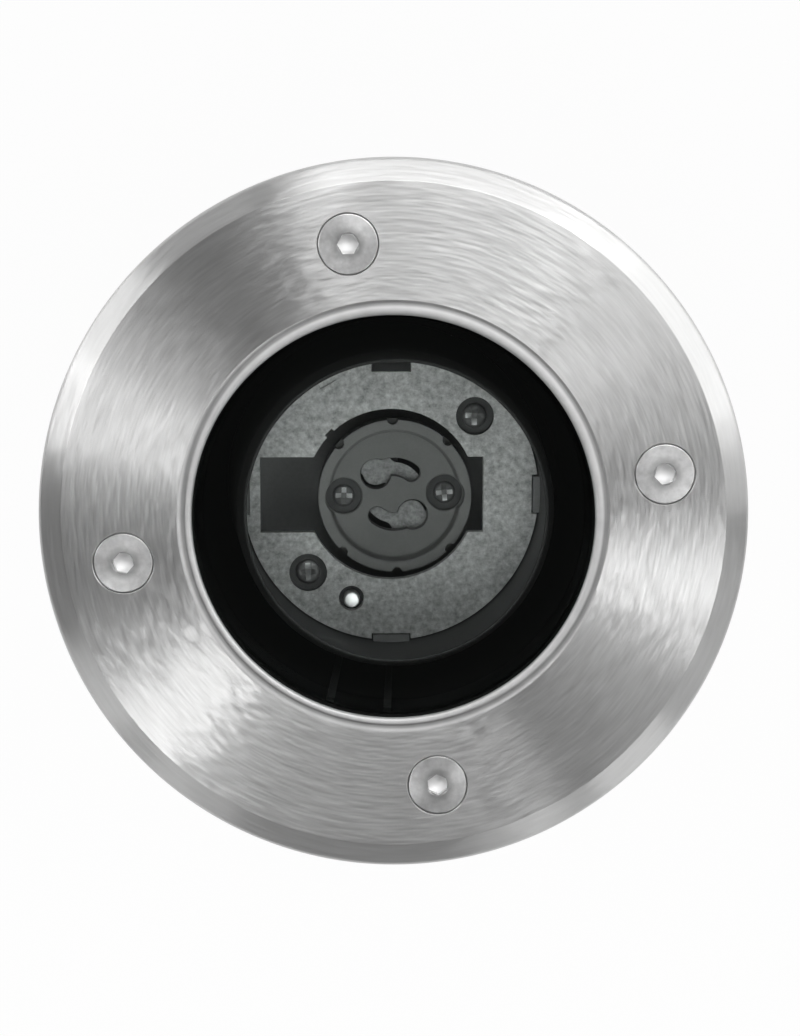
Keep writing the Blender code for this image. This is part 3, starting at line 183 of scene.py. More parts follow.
class Finish(Tree):
    """One material round a Principled shader."""

    def __init__(self, name, roughness, metallic=0.0, **constants):
        self.material = bpy.data.materials.new(name)
        self.material.use_nodes = True
        super().__init__(self.material.node_tree)
        self.shader = self.tree.nodes["Principled BSDF"]
        self.shader.inputs["Roughness"].default_value = roughness
        self.shader.inputs["Metallic"].default_value = metallic
        for socket, value in constants.items():
            self.shader.inputs[socket.replace("_", " ")].default_value = value
        self.place = self.node("ShaderNodeTexCoord", output="Object")

    def set(self, **sockets):
        for socket, value in sockets.items():
            self.feed(self.shader.inputs[socket.replace("_", " ")], value)

    def bump(self, height, depth, strength=1.0):
        """Turn a height in 0..1 into a normal, depth in metres."""
        inputs = {"Strength": strength, "Distance": depth, "Height": height}
        self.set(Normal=self.node("ShaderNodeBump", None, inputs))

    def speckle(self, scale, detail=2.0, roughness=0.5):
        """A noise that stays with the piece."""
        return self.noise(self.place, scale, detail, roughness)

    def polar(self):
        """The compass direction, as two shares, and the distance from the Z axis."""
        x, y, _ = self.split(self.place)
        radius = (x * x + y * y + 1e-9) ** 0.5
        return x / radius, y / radius, radius

    def grey(self, tone, blue_share=1):
        """A grey of one tone, a little warm where its share of blue is below 1."""
        return self.joined(tone, tone, tone if blue_share == 1 else tone * blue_share)


# %% [markdown]
# ## Backdrop and light
#
# The photograph has a plain white ground. A white backdrop that is lit until it clips would
# also flood the steel, so the ground is drawn white only for rays that come from the camera, a
# reflection or the glass, and it still takes a faint shadow. From below it is clear, so that
# the foot can be looked at. The sky does the same near the horizon, and stays dark overhead,
# where the camera stands: a glass and a flat cover mirror that dark patch.

# %% Ground and sky
GROUND_SIZE = 4.0
GROUND_GAP = 0.1 * MM
GROUND_WHITE_SHARE = 0.95
SKY_DIFFUSE = 0.22
SKY_OVERHEAD = 0.05
# the heights, as shares of straight up, between which the sky goes dark
SKY_FADE = (0.08, 0.42)


def seen_directly(tree):
    """1 for camera, mirror and glass rays, 0 for soft light."""
    path = tree.node("ShaderNodeLightPath").socket.node
    total = Wire(tree, path.outputs["Is Camera Ray"]) + Wire(tree, path.outputs["Is Glossy Ray"])
    total = total + Wire(tree, path.outputs["Is Transmission Ray"])
    return total.sum_with("MINIMUM", total, 1.0)


ground_mesh = bmesh.new()
bmesh.ops.create_grid(ground_mesh, x_segments=1, y_segments=1, size=GROUND_SIZE / 2)
ground_data = bpy.data.meshes.new("ground")
ground_mesh.to_mesh(ground_data)
ground_mesh.free()
ground = bpy.data.objects.new("ground", ground_data)
bpy.context.scene.collection.objects.link(ground)
ground.location.z = -GROUND_GAP
print("ground size (m):", GROUND_SIZE)
ground_finish = Finish("ground_white", 0.9)
ground_finish.set(Base_Color=(0.9, 0.9, 0.9))
glow = ground_finish.node("ShaderNodeEmission", None, {"Color": (1.0, 1.0, 1.0), "Strength": 1.0})
mixed = ground_finish.node("ShaderNodeMixShader", None, {
    0: seen_directly(ground_finish) * GROUND_WHITE_SHARE,
    1: Wire(ground_finish, ground_finish.shader.outputs[0]),
    2: glow,
})
behind = ground_finish.node("ShaderNodeNewGeometry", output="Backfacing")
mixed = ground_finish.node("ShaderNodeMixShader", None, {
    0: behind, 1: mixed, 2: ground_finish.node("ShaderNodeBsdfTransparent"),
})
ground_end = ground_finish.tree.nodes["Material Output"]
ground_finish.tree.links.new(mixed.socket, ground_end.inputs["Surface"])
ground_data.materials.append(ground_finish.material)

sky = bpy.data.worlds.new("sky")
sky.use_nodes = True
bpy.context.scene.world = sky
sky_tree = Tree(sky.node_tree)
sky_shader = sky.node_tree.nodes["Background"]
direction = sky_tree.node("ShaderNodeTexCoord", output="Generated")
height = sky_tree.split(direction)[2]
path = sky_tree.node("ShaderNodeLightPath").socket.node
from_camera = Wire(sky_tree, path.outputs["Is Camera Ray"])
direct = seen_directly(sky_tree)
mirrored = height.ramp(*SKY_FADE, 1.0, SKY_OVERHEAD)
level = direct * mirrored + (1 - direct) * SKY_DIFFUSE
level = from_camera + (1 - from_camera) * level
sky_tree.feed(sky_shader.inputs["Strength"], level)
sky_shader.inputs["Color"].default_value = (1, 1, 1, 1)

# %% [markdown]
# Round brushed steel throws light only outwards and inwards, across its scratches. A lamp then
# shows as a bright wedge of the cover on the lamp's own side. The wedges of the photograph tell
# where its soft lamps stood, so the steel here is lit by a ring of soft panels, each given by
# its compass angle, its lean from straight overhead and its brightness.

# %% Panels for the steel
LAMP_DISTANCE = 1.1
PANELS = [
    # angle, width, lean, height of the panel (all in degrees), brightness
    (67.5, 37.5, 21, 14, 2.6),
    (97.5, 22.5, 21, 14, 1.0),
    (108.75, 15, 21, 14, 3.1),
    (161.25, 15, 21, 14, 2.2),
    (225, 7.5, 21, 14, 4.9),
    (232.5, 7.5, 21, 14, 9.0),
    (311.25, 60, 21, 14, 0.5),
    (333.75, 15, 21, 14, 4.6),
    (341.25, 15, 21, 14, 2.9),
    (30, 52.5, 38, 20, 2.3),
    (78.75, 60, 38, 20, 4.1),
    (168.75, 15, 38, 20, 5.0),
    (292.5, 7.5, 38, 20, 2.0),
    (3.75, 15, 58, 20, 1.2),
    (15, 7.5, 58, 20, 2.5),
    (33.75, 30, 58, 20, 2.4),
    (127.5, 22.5, 58, 20, 0.9),
    (150, 22.5, 58, 20, 3.0),
    (213.75, 15, 58, 20, 0.9),
    (236.25, 15, 58, 20, 0.6),
    (307.5, 52.5, 58, 20, 0.7),
    (311.25, 15, 58, 20, 1.2),
]


def add_panel(name, angle, width, lean, tall, brightness):
    """A soft panel that looks at the cover; a brightness of 1 is that of white paper."""
    angle, width, lean, tall = (math.radians(v) for v in (angle, width, lean, tall))
    data = bpy.data.lights.new(name, "AREA")
    data.shape = "RECTANGLE"
    data.size = 2 * LAMP_DISTANCE * math.tan(width / 2) * math.sin(lean)
    data.size_y = 2 * LAMP_DISTANCE * math.tan(tall / 2)
    data.energy = brightness * data.size * data.size_y * math.pi
    lamp = bpy.data.objects.new(name, data)
    facing = Matrix.Rotation(angle, 4, "Z") @ Matrix.Rotation(lean, 4, "Y")
    lamp.matrix_world = (
        Matrix.Translation((0, 0, COVER_TOP)) @ facing
        @ Matrix.Translation((0, 0, LAMP_DISTANCE)) @ Matrix.Rotation(math.pi / 2, 4, "Z")
    )
    lamp.visible_camera = False
    bpy.context.scene.collection.objects.link(lamp)
    return lamp


for number, panel in enumerate(PANELS, start=1):
    add_panel(f"panel_{number}", *panel).visible_diffuse = False
print("panels for the steel:", len(PANELS))

# %% [markdown]
# The matt pieces deep in the light don't care about reflections. They are lit by a second ring
# of soft lamps, strongest on the near side, so that the far part of the plate is the brightest:
# its light comes in under the rim of the cover. These lamps don't show in the steel.

# %% Lamps for the matt pieces
SOFT_WIDTH, SOFT_HEIGHT = 45, 18
SOFT_LAMPS = [
    # angle, lean (in degrees), brightness
    (90, 20, 2.7), (225, 20, 1.3), (270, 20, 6.2), (0, 38, 3.1), (135, 38, 1.1),
    (180, 38, 1.8), (225, 38, 2.8), (315, 38, 3.2),
]
for number, (angle, lean, brightness) in enumerate(SOFT_LAMPS, start=1):
    lamp = add_panel(f"soft_lamp_{number}", angle, SOFT_WIDTH, lean, SOFT_HEIGHT, brightness)
    lamp.visible_glossy = False
print("lamps for the matt pieces:", len(SOFT_LAMPS))

# %% [markdown]
# ## Helpers for shapes
#
# Most pieces of a light are turned, so an outline of radius and height is spun once round the
# axis. Holes and slots are cut with exact Booleans. Every piece ends as one mesh in its place,
# on an object that sits at the origin, so that its finish does not slide.

# %% Shape helpers
TINY = 0.001 * MM


def spun(outline, steps=160):
    """Spin a closed outline of (radius, height) points, in mm, about the Z axis."""
    bm = bmesh.new()
    verts = [bm.verts.new((r * MM, 0, z * MM)) for r, z in outline]
    for first, second in zip(verts, verts[1:] + verts[:1]):
        if first.co.x > TINY or second.co.x > TINY:
            bm.edges.new((first, second))
    bmesh.ops.spin(
        bm, geom=bm.verts[:] + bm.edges[:], cent=(0, 0, 0), axis=(0, 0, 1),
        angle=2 * math.pi, steps=steps, use_merge=True,
    )
    bmesh.ops.remove_doubles(bm, verts=bm.verts, dist=TINY)
    bmesh.ops.recalc_face_normals(bm, faces=bm.faces)
    return bm


def block(low, high):
    """A box between two corners, in mm."""
    bm = bmesh.new()
    bmesh.ops.create_cube(bm, size=1)
    size = [(b - a) * MM for a, b in zip(low, high)]
    middle = [(a + b) / 2 * MM for a, b in zip(low, high)]
    bmesh.ops.scale(bm, vec=size, verts=bm.verts)
    bmesh.ops.translate(bm, vec=middle, verts=bm.verts)
    return bm


def lofted(outline, levels):
    """Stack copies of an outline, a function of its growth in mm, at (height, growth) levels."""
    bm = bmesh.new()
    loops = []
    for z, growth in levels:
        verts = [bm.verts.new((x * MM, y * MM, z * MM)) for x, y in outline(growth)]
        loops.append([bm.edges.new(pair) for pair in zip(verts, verts[1:] + verts[:1])])
    for low, high in zip(loops, loops[1:]):
        bmesh.ops.bridge_loops(bm, edges=low + high)
    bmesh.ops.contextual_create(bm, geom=loops[0])
    bmesh.ops.contextual_create(bm, geom=loops[-1])
    bmesh.ops.recalc_face_normals(bm, faces=bm.faces)
    return bm


def tube_cutter(radius, low, high, steps=64):
    """A plain round cutter between two heights, in mm."""
    return spun([(0, high), (radius, high), (radius, low), (0, low)], steps)


def moved(bm, *matrices):
    """Apply matrices to a shape, the last one first."""
    whole = Matrix.Identity(4)
    for matrix in matrices:
        whole = whole @ matrix
    bm.transform(whole)
    return bm


def shift(x, y, z=0.0):
    return Matrix.Translation((x * MM, y * MM, z * MM))


def turn(degrees, axis="Z"):
    return Matrix.Rotation(math.radians(degrees), 4, axis)


def polar_point(radius, degrees):
    angle = math.radians(degrees)
    return radius * math.cos(angle), radius * math.sin(angle)


def polar_shift(radius, degrees, z=0.0):
    return shift(*polar_point(radius, degrees), z)


def loose_object(name, bm):
    data = bpy.data.meshes.new(name)
    bm.to_mesh(data)
    bm.free()
    made = bpy.data.objects.new(name, data)
    bpy.context.scene.collection.objects.link(made)
    return made


def carved(bm, tools, how="DIFFERENCE"):
    """Cut tool shapes from a shape, or join them to it, one after another."""
    target = loose_object("carved", bm)
    cutters = [loose_object(f"tool_{k}", tool) for k, tool in enumerate(tools)]
    for cutter in cutters:
        step = target.modifiers.new(cutter.name, "BOOLEAN")
        step.operation = how
        step.solver = "EXACT"
        step.object = cutter
    graph = bpy.context.evaluated_depsgraph_get()
    result = bmesh.new()
    result.from_object(target, graph)
    for old in [target] + cutters:
        data = old.data
        bpy.data.objects.remove(old)
        bpy.data.meshes.remove(data)
    bmesh.ops.remove_doubles(result, verts=result.verts, dist=TINY)
    return result


def mark(bm, slot, test):
    """Give the faces whose middle, in mm, passes a test another finish of their piece."""
    for face in bm.faces:
        if test(face.calc_center_median() / MM):
            face.material_index = slot


def piece(name, bm, finishes, body, stands_for=(), bevel=0.0, sharp=32):
    """Finish a shape as a piece that rides on a body and stands for model nodes."""
    made = loose_object(name, bm)
    for finish in finishes:
        made.data.materials.append(finish.material)
    if bevel:
        step = made.modifiers.new("soft_edges", "BEVEL")
        step.width = bevel * MM
        step.segments = 2
        step.limit_method = "ANGLE"
        step.angle_limit = math.radians(sharp)
        step.use_clamp_overlap = True
    made.data.shade_smooth()
    made.data.set_sharp_from_angle(angle=math.radians(sharp))
    weighed = made.modifiers.new("flat_faces_stay_flat", "WEIGHTED_NORMAL")
    weighed.keep_sharp = True
    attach(made, body)
    if stands_for:
        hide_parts(*stands_for)
    print(name, "faces:", len(made.data.polygons))
    return made


# %% [markdown]
# ## Brushed steel
#
# The cover was turned against a brush, so its scratches run round it in short strokes. The
# shader's anisotropy spreads the shine across them, and a quarter turn points it outwards. The
# strokes themselves are a noise that is stretched along the circle: its input is the compass
# direction, which changes slowly, and the radius, which changes fast.

# %% Steel finishes
SCREW_ANGLES = [9.35 + 90 * k for k in range(4)]
SCREW_CIRCLE = 42.3
QUARTER_TURN = 0.25
STEEL_ROUGHNESS = 0.295
STROKE_DEPTH = 0.072
LIP_OUTSIDE, LIP_UNDERSIDE = 33.3, 129.3
GROOVE_ASIDE = (0.2, 0.25)


def nearest_screw(finish):
    """The distance from the axis of the nearest cover screw, by folding the four into one."""
    x, y, _ = finish.split(finish.place)
    cos, sin = polar_point(1, SCREW_ANGLES[0])
    along, across = x * cos + y * sin, y * cos - x * sin
    along, across = along.sum_with("ABSOLUTE", along), across.sum_with("ABSOLUTE", across)
    out = along.sum_with("MAXIMUM", along, across) - SCREW_CIRCLE * MM
    aside = along.sum_with("MINIMUM", along, across)
    return (out * out + aside * aside) ** 0.5


steel = Finish("brushed_steel", STEEL_ROUGHNESS, 1.0, Anisotropic=1.0,
               Anisotropic_Rotation=QUARTER_TURN)
east, north, radius = steel.polar()
wander = steel.speckle(80.0, 1.0)
bent = radius + (wander - 0.5) * (0.6 * MM)


def circular_noise(along, across, grain, detail):
    """A noise in the steel that is long round the circle and fine across it."""
    spot = steel.joined(east * along, north * along, across * grain)
    return steel.noise(spot, 1.0, detail)


bands = circular_noise(8.0, bent, 1150.0, 1.0)
strokes = circular_noise(8.0, bent, 2600.0, 2.0)
clouds = circular_noise(7.0, radius, 300.0, 2.0)
face = radius.ramp(50.6 * MM, 51.3 * MM, 1.0, 0.4) * radius.ramp(32.9 * MM, 33.6 * MM, 0.3, 1.0)
tone = 0.62 + ((strokes - 0.5) * 0.22 + (bands - 0.5) * 0.10 + (clouds - 0.5) * 0.12) * face
steel.set(Base_Color=steel.grey(tone, 0.995))
steel.set(Roughness=STEEL_ROUGHNESS + ((strokes - 0.5) * 0.01 + (bands - 0.5) * 0.015) * face)
steel.bump(bands * 0.85 + strokes * 0.15, STROKE_DEPTH * MM)

lip_steel = Finish("rolled_lip", 0.5, 1.0)
wear = lip_steel.speckle(300.0, 3.0)
x, y, _ = lip_steel.split(lip_steel.place)
x, y = x - GROOVE_ASIDE[0] * MM, y - GROOVE_ASIDE[1] * MM
radius = (x * x + y * y) ** 0.5
# The groove is painted darker: painted shade in the crease.
painted_groove_shade = radius.ramp(32.0 * MM, 32.5 * MM) * radius.ramp(32.8 * MM, 33.35 * MM, 1.0, 0.0)
tone = (0.56 + (wear - 0.5) * 0.2) * (1 - painted_groove_shade * 0.5)
lip_steel.set(Base_Color=lip_steel.grey(tone), Roughness=0.45 + wear * 0.15)
lip_steel.bump(wear, 0.02 * MM, 0.3)

bolt_steel = Finish("turned_steel", 0.34, 1.0, Anisotropic=0.5,
                    Anisotropic_Rotation=QUARTER_TURN)
grit = bolt_steel.speckle(1500.0, 3.0)
smudge = bolt_steel.speckle(520.0, 3.0, 0.6)
worn = nearest_screw(bolt_steel).ramp(1.7 * MM, 3.0 * MM, 1.0, 0.0)
tone = 0.57 + (grit - 0.5) * 0.14 + (smudge - 0.5) * 0.46 - worn * smudge * 0.4
bolt_steel.set(Base_Color=bolt_steel.grey(tone))
bolt_steel.set(Roughness=0.31 + grit * 0.06)
bolt_steel.bump(grit * 0.5 + smudge * 0.5, 0.03 * MM, 0.4)

# The inside of the hexagon socket is coloured brighter than the head: a painted highlight.
painted_socket_highlight = Finish("socket_painted_highlight", 0.6, 1.0)
wear = painted_socket_highlight.speckle(900.0, 2.0)
tone = 0.72 + wear * 0.2
painted_socket_highlight.set(Base_Color=painted_socket_highlight.grey(tone), Roughness=0.5 + wear * 0.2)
painted_socket_highlight.bump(wear, 0.05 * MM, 0.4)
steels = (steel, lip_steel, bolt_steel, painted_socket_highlight)
print("steel finishes:", [made.material.name for made in steels])


# %% [markdown]
# ## The cover
#
# A 3 mm plate with a flat face, a 3.7 mm bevel round it and a small turned-down rim that covers
# the pot's flange. Round the opening the edge is rolled, with a thin groove outside the roll:
# the dark line of the photograph, where the groove's colour is also darkened as painted shade.
# Spinning one outline gives all of it at once, and the four screw holes are cut afterwards with
# a countersunk cutter. The groove is moved a quarter of a millimetre off the middle, as it is on
# the real cover. The wall of the opening, under the rolled lip, is coloured near black as painted
# shade, so the glass mirrors nothing bright there.

# %% Steel cover
cover_outline = [
    (31.10, 127.0), (31.10, 129.40), (31.15, 129.66), (31.28, 129.84), (31.50, 129.93),
    (31.80, 129.97), (32.10, 129.96), (32.32, 129.92), (32.52, 129.83), (32.78, 129.83),
    (33.10, 129.94), (33.40, 130.0), (36.0, 130.0), (40.0, 130.0), (45.0, 130.0), (49.0, 130.0),
    (51.16, 130.0), (51.34, 129.96), (54.42, 128.66), (54.74, 128.46), (54.94, 128.16),
    (55.0, 127.80), (55.0, 126.60), (54.85, 126.4), (52.80, 126.4), (52.70, 126.5),
    (52.70, 127.0),
]
hole_outline = [
    (0, 131.0), (4.90, 131.0), (4.82, 130.0), (4.70, 129.88), (4.70, 129.42), (2.95, 127.65),
    (2.9, 126.0), (0, 126.0),
]
cover_shape = spun(cover_outline, 256)
for vert in cover_shape.verts:
    if 32.2 * MM < vert.co.xy.length < 33.2 * MM and vert.co.z > 129 * MM:
        vert.co += Vector((*GROOVE_ASIDE, 0)) * MM
holes = [moved(spun(hole_outline, 64), polar_shift(SCREW_CIRCLE, a)) for a in SCREW_ANGLES]
cover_shape = carved(cover_shape, holes)
# The wall of the opening under the rolled lip gets a near-black colour: painted shade.
mark(cover_shape, 2, lambda spot: spot.xy.length < LIP_OUTSIDE)
mark(cover_shape, 1, lambda spot: spot.xy.length < LIP_OUTSIDE and spot.z > LIP_UNDERSIDE)
lip_painted_shade = Finish("lip_underside_painted_shade", 0.8, Specular_IOR_Level=0.05)
lip_painted_shade.set(Base_Color=(0.008, 0.008, 0.008))
piece("steel_cover", cover_shape, [steel, lip_steel, lip_painted_shade], "cover", ["cover_ring"])

# %% [markdown]
# ## Cover screws
#
# Countersunk screws with a hexagon socket. The head is an outline spun round, and the socket is
# a six-sided cutter. The thread is one ridge that climbs: the shank gets many rows of points,
# and each point is pulled in by how far it is along its turn.

# %% Cover screws
THREAD_PITCH = 0.8
THREAD_DEPTH = 0.32
THREAD_ROWS = 116
SHANK_STEPS = 64
SHANK_RADIUS = 2.5
SHANK_TOP, SHANK_END = -3.6, -24.2
SOCKET_FLATS = 2.9
SOCKET_BOTTOM = -1.4


def threaded(bm, radius, top, end, pitch, depth):
    """Pull a shank's points into a helical ridge between two heights, in mm."""
    for vert in bm.verts:
        x, y, z = (v / MM for v in vert.co)
        reach = math.hypot(x, y)
        if abs(reach - radius) < 0.01 and end - 0.01 <= z <= top + 0.01:
            along = (z / pitch - math.atan2(y, x) / (2 * math.pi)) % 1
            ridge = 1 - abs(2 * along - 1)
            fade = min(1.0, (top - z) / pitch, (z - end) / pitch)
            scale = 1 - depth * ridge * max(fade, 0) / radius
            vert.co.x *= scale
            vert.co.y *= scale


def hexagon_cutter(flats, low, high):
    bm = bmesh.new()
    corner = flats / math.sqrt(3) * MM
    bmesh.ops.create_cone(
        bm, cap_ends=True, segments=6, radius1=corner, radius2=corner, depth=(high - low) * MM,
    )
    return moved(bm, shift(0, 0, (low + high) / 2))


head = [
    (0, -0.06), (4.36, -0.06), (4.52, -0.12), (4.60, -0.26), (4.60, -0.5), (SHANK_RADIUS, -2.55),
]
rows = [
    (SHANK_RADIUS, SHANK_TOP + (SHANK_END - SHANK_TOP) * k / THREAD_ROWS)
    for k in range(THREAD_ROWS + 1)
]
screw_outline = head + rows + [(1.3, -25.0), (0, -25.0)]
socket_mouth = [(0, 0.5), (2.0, 0.5), (1.76, -0.06), (1.62, -0.17), (0, -0.17)]
socket_tip = [(0, SOCKET_BOTTOM), (1.40, SOCKET_BOTTOM), (1.25, -1.5), (0, -1.9)]
for number, angle in enumerate(SCREW_ANGLES, start=1):
    shape = spun(screw_outline, SHANK_STEPS)
    threaded(shape, SHANK_RADIUS, SHANK_TOP, SHANK_END, THREAD_PITCH, THREAD_DEPTH)
    socket = hexagon_cutter(SOCKET_FLATS, SOCKET_BOTTOM, 0.5)
    shape = carved(shape, [socket, spun(socket_mouth, 48), spun(socket_tip, 24)])
    # The socket's faces get the painted highlight.
    mark(shape, 1, lambda spot: spot.xy.length < 1.7 and -3 < spot.z < -0.2)
    place = polar_shift(SCREW_CIRCLE, angle, COVER_TOP / MM)
    moved(shape, place @ turn(angle * 3 + 17 * number))
    piece(f"cover_bolt_{number}", shape, [bolt_steel, painted_socket_highlight], f"cover_screw_{number}",
          [f"cover_screw_{number}"], sharp=28)

# %% [markdown]
# ## Glass and gasket
#
# The glass is thick and flat with a ground edge. A lamp has to shine through it, so the shader
# lets light pass and only mirrors a little, more at a slant: that is what the Fresnel node
# gives. The gasket is a black silicone channel round its edge.

# %% Glass
glass = Finish("clear_glass", 0.02, 1.0)
glass.set(Base_Color=(0.9, 0.95, 0.93))
clear = glass.node("ShaderNodeBsdfTransparent", None, {"Color": (0.97, 0.985, 0.98)})
facing = glass.node("ShaderNodeFresnel", None, {"IOR": 1.45})
glass_end = glass.tree.nodes["Material Output"]
mixed = glass.node("ShaderNodeMixShader", None, {
    0: facing, 1: clear, 2: Wire(glass, glass.shader.outputs[0]),
})
glass.tree.links.new(mixed.socket, glass_end.inputs["Surface"])
lens_outline = [
    (0, 125.6), (34.5, 125.6), (34.85, 125.48), (35.0, 125.1), (35.0, 120.6), (34.85, 120.22),
    (34.5, 120.1), (0, 120.1),
]
piece("glass_lens", spun(lens_outline), [glass], "cover", ["lens"])

rubber = Finish("black_rubber", 0.7, Specular_IOR_Level=0.05)
dust = rubber.speckle(900.0, 3.0)
tone = 0.006 + dust * 0.004
rubber.set(Base_Color=rubber.grey(tone), Roughness=0.6 + dust * 0.2)
rubber.bump(dust, 0.02 * MM, 0.3)
gasket_outline = [
    (33.3, 126.7), (36.3, 126.7), (36.5, 126.5), (36.5, 119.2), (36.3, 119.0), (33.3, 119.0),
    (33.2, 119.1), (33.2, 119.75), (35.3, 119.8), (35.3, 125.9), (33.2, 125.95), (33.2, 126.6),
]
piece("silicone_gasket", spun(gasket_outline), [rubber], "cover", ["lens_gasket"])

# %% [markdown]
# ## Plastics
#
# The pot and the tube are black, and the insert's base is grey. Black plastic is never quite
# black: it has a satin sheen with a fine spark-eroded grain, and it looks greyer where light
# grazes it.

# %% Plastic finishes
def moulded(name, level, roughness, grain, depth, gloss=0.5):
    """A moulded plastic with a fine grain."""
    made = Finish(name, roughness, 0.0, Specular_IOR_Level=gloss)
    speck = made.speckle(grain, 3.0, 0.55)
    flow = made.speckle(60.0, 2.0)
    tone = level * (0.75 + speck * 0.3 + flow * 0.2)
    made.set(Base_Color=made.grey(tone), Roughness=roughness + (speck - 0.5) * 0.1)
    made.bump(speck, depth * MM, 0.35)
    return made


# name, level of the grey, roughness, scale of the grain, its depth in mm, gloss
pot_plastic = moulded("pot_plastic", 0.012, 0.55, 1800.0, 0.03, 0.35)
tube_plastic = moulded("tube_plastic", 0.045, 0.5, 2400.0, 0.02, 0.25)
base_plastic = moulded("base_plastic", 0.225, 0.6, 1600.0, 0.03)
gland_nylon = moulded("gland_nylon", 0.020, 0.5, 1500.0, 0.03)
white_nylon = moulded("white_nylon", 0.72, 0.45, 900.0, 0.02)
print("materials so far:", len(bpy.data.materials))

# %% [markdown]
# ## Where the insert stands
#
# The insert leans by 3.4 degrees about the line through its two screws, and the lampholder sits
# a little off its middle. Each piece of the insert is made upright round its own middle, and
# these two matrices then put it in place.

# %% Places of the insert and the lampholder
PLATE_SCREW_ANGLES, PLATE_SCREW_CIRCLE = (43.2, 223.2), 20.3
INSERT_MIDDLE = (-1.49, 1.59)
LEAN_AXIS = Vector((*polar_point(1, PLATE_SCREW_ANGLES[0]), 0))
INSERT = shift(*INSERT_MIDDLE, 63.7) @ Matrix.Rotation(math.radians(3.4), 4, LEAN_AXIS)
HOLDER = INSERT @ shift(0.85, -0.88) @ turn(1.7)
PLATE_TOP, PLATE_UNDER = 21.3, 18.9
PLATE_R = 26.2
RIM_TOP, FACE_Z, HOLDER_UNDER, POCKET_TOP = 16.3, 12.8, 3.6, 10.2
HOLDER_SCREW_REACH = 9.15
PIN_PLACE = polar_shift(19.9, 249.1)
SLOT_CIRCLE, SLOT_WIDE_END, SLOT_NARROW_END = 5.0, 130.5, 49.9
print("insert at (mm):", [round(v / MM, 2) for v in INSERT.translation])

# %% [markdown]
# ## The shade tube
#
# A black tube stands round the lamp's space, wider at its base than at its mouth. Four hooks on
# its inside hold the plate between two fingers. They are blocks with a slot, joined to the spun
# tube, and they get the grey of the base. The tube's outside is coloured paler, as painted
# light, where little light reaches it.

# %% Shade tube
tube_outline = [
    (24.5, 47.3), (24.58, 47.52), (24.75, 47.6), (25.0, 47.5), (25.6, 46.4), (26.12, 44.9),
    (26.32, 44.0), (29.98, 0.5), (29.9, 0.15), (29.6, 0), (28.3, 0), (28.2, 0.1), (26.5, 18.9),
    (26.5, 21.6),
]
hooks = []
for k in range(4):
    inner = 24.55 if k == 1 else 25.15
    hook = carved(block((inner, -3.2, 17.7), (27.6, 3.2, 22.2)),
                  [block((20, -4, 18.6), (inner + 0.25, 4, 21.6))])
    hooks.append(moved(hook, turn(90 * k)))
tube_shape = carved(spun(tube_outline), hooks, "UNION")
mark(tube_shape, 2, lambda spot: spot.xy.length > 26)
mark(tube_shape, 1, lambda spot: spot.xy.length < 26.45 and 17.6 < spot.z < 22.3)
# A paler copy of the black plastic for the outside: painted light.
outside_painted_light = moulded("outside_painted_light", 0.11, 0.8, 1800.0, 0.03, 0.1)
piece("black_shade_tube", moved(tube_shape, INSERT), [tube_plastic, base_plastic, outside_painted_light],
      "base", ["shade_tube"])

# %% [markdown]
# ## The cast plate
#
# A grey casting with a sandy skin. The disc is spun with its round hole, and the window, the
# hooks' notches, the slit, the pin's hole and the screw wells are cut from it. A narrow bevel
# then softens every edge, because a casting has none that is sharp.

# %% Cast plate
cast = Finish("cast_grey", 0.7, 0.0)
sand = cast.speckle(3000.0, 2.0, 0.6)
clumps = cast.speckle(950.0, 3.0, 0.6)
clouds = cast.speckle(170.0, 2.0, 0.5)
tone = 0.57 + (sand - 0.5) * 0.30 + (clumps - 0.5) * 1.00 + (clouds - 0.5) * 0.30
cast.set(Base_Color=cast.grey(tone, 0.99), Roughness=0.6 + sand * 0.16)
cast.bump(sand * 0.5 + clumps * 0.5, 0.05 * MM, 0.5)
# A dark colour for the screw well floors, the holder's screw sinks and the pin's foot in its
# hole: painted shade in these recesses.
painted_well_shade = moulded("well_shade_painted", 0.07, 0.6, 2000.0, 0.03)

plate_outline = [
    (15.2, PLATE_UNDER), (15.2, PLATE_TOP), (PLATE_R, PLATE_TOP), (PLATE_R, PLATE_UNDER),
]
LOW, HIGH = PLATE_UNDER - 1, PLATE_TOP + 1
WELL_RADIUS = 3.37


def notch(angle, width, inner, outer):
    return moved(block((inner, -width / 2, LOW), (outer, width / 2, HIGH)), turn(angle))


cuts = [
    moved(block((22.4, -1.6, PLATE_TOP - 0.35), (27, 1.6, HIGH)), turn(119.4)),
    notch(135.0, 1.8, 14.0, 15.75),
    block((-23.2, -6.7, LOW), (16.4, 6.7, HIGH)),
    moved(tube_cutter(2.25, LOW, HIGH, 48), PIN_PLACE),
]
for k in range(4):
    depth = 4.5 if k == 1 else 1.2
    cuts.append(notch(90 * k, 7.0, PLATE_R - depth, PLATE_R + 1))
well = [(0, HIGH), (WELL_RADIUS, HIGH), (3.32, 19.7), (2.05, 19.7), (2.05, LOW), (0, LOW)]
well_middles = [polar_point(PLATE_SCREW_CIRCLE, angle) for angle in PLATE_SCREW_ANGLES]
for middle in well_middles:
    cuts.append(moved(spun(well, 48), shift(*middle)))


def in_plate_well(spot):
    aside = min(math.dist(spot.xy, middle) for middle in well_middles)
    return aside < WELL_RADIUS - 0.01 and PLATE_UNDER < spot.z < PLATE_TOP - 0.05


plate_shape = carved(spun(plate_outline), cuts)
# The plate's screw wells get the painted shade.
mark(plate_shape, 1, in_plate_well)
piece("cast_plate", moved(plate_shape, INSERT), [cast, painted_well_shade], "base", ["holder_plate"],
      bevel=0.18)

# %% [markdown]
# ## Small screws
#
# Pan heads with a crossed recess. The punch leaves a slope at the end of each arm. On some arms
# that slope is coloured bright, a painted glint, and the rest of the head is dull. The slopes
# are found by their normals, which lean inwards.

# %% Small screws
PAN_HEAD = [
    (0, 1), (0.30, 0.98), (0.55, 0.91), (0.76, 0.79), (0.90, 0.62), (0.98, 0.38), (1, 0.1),
    (0.98, 0),
]
RECESS_DEPTH = 0.8


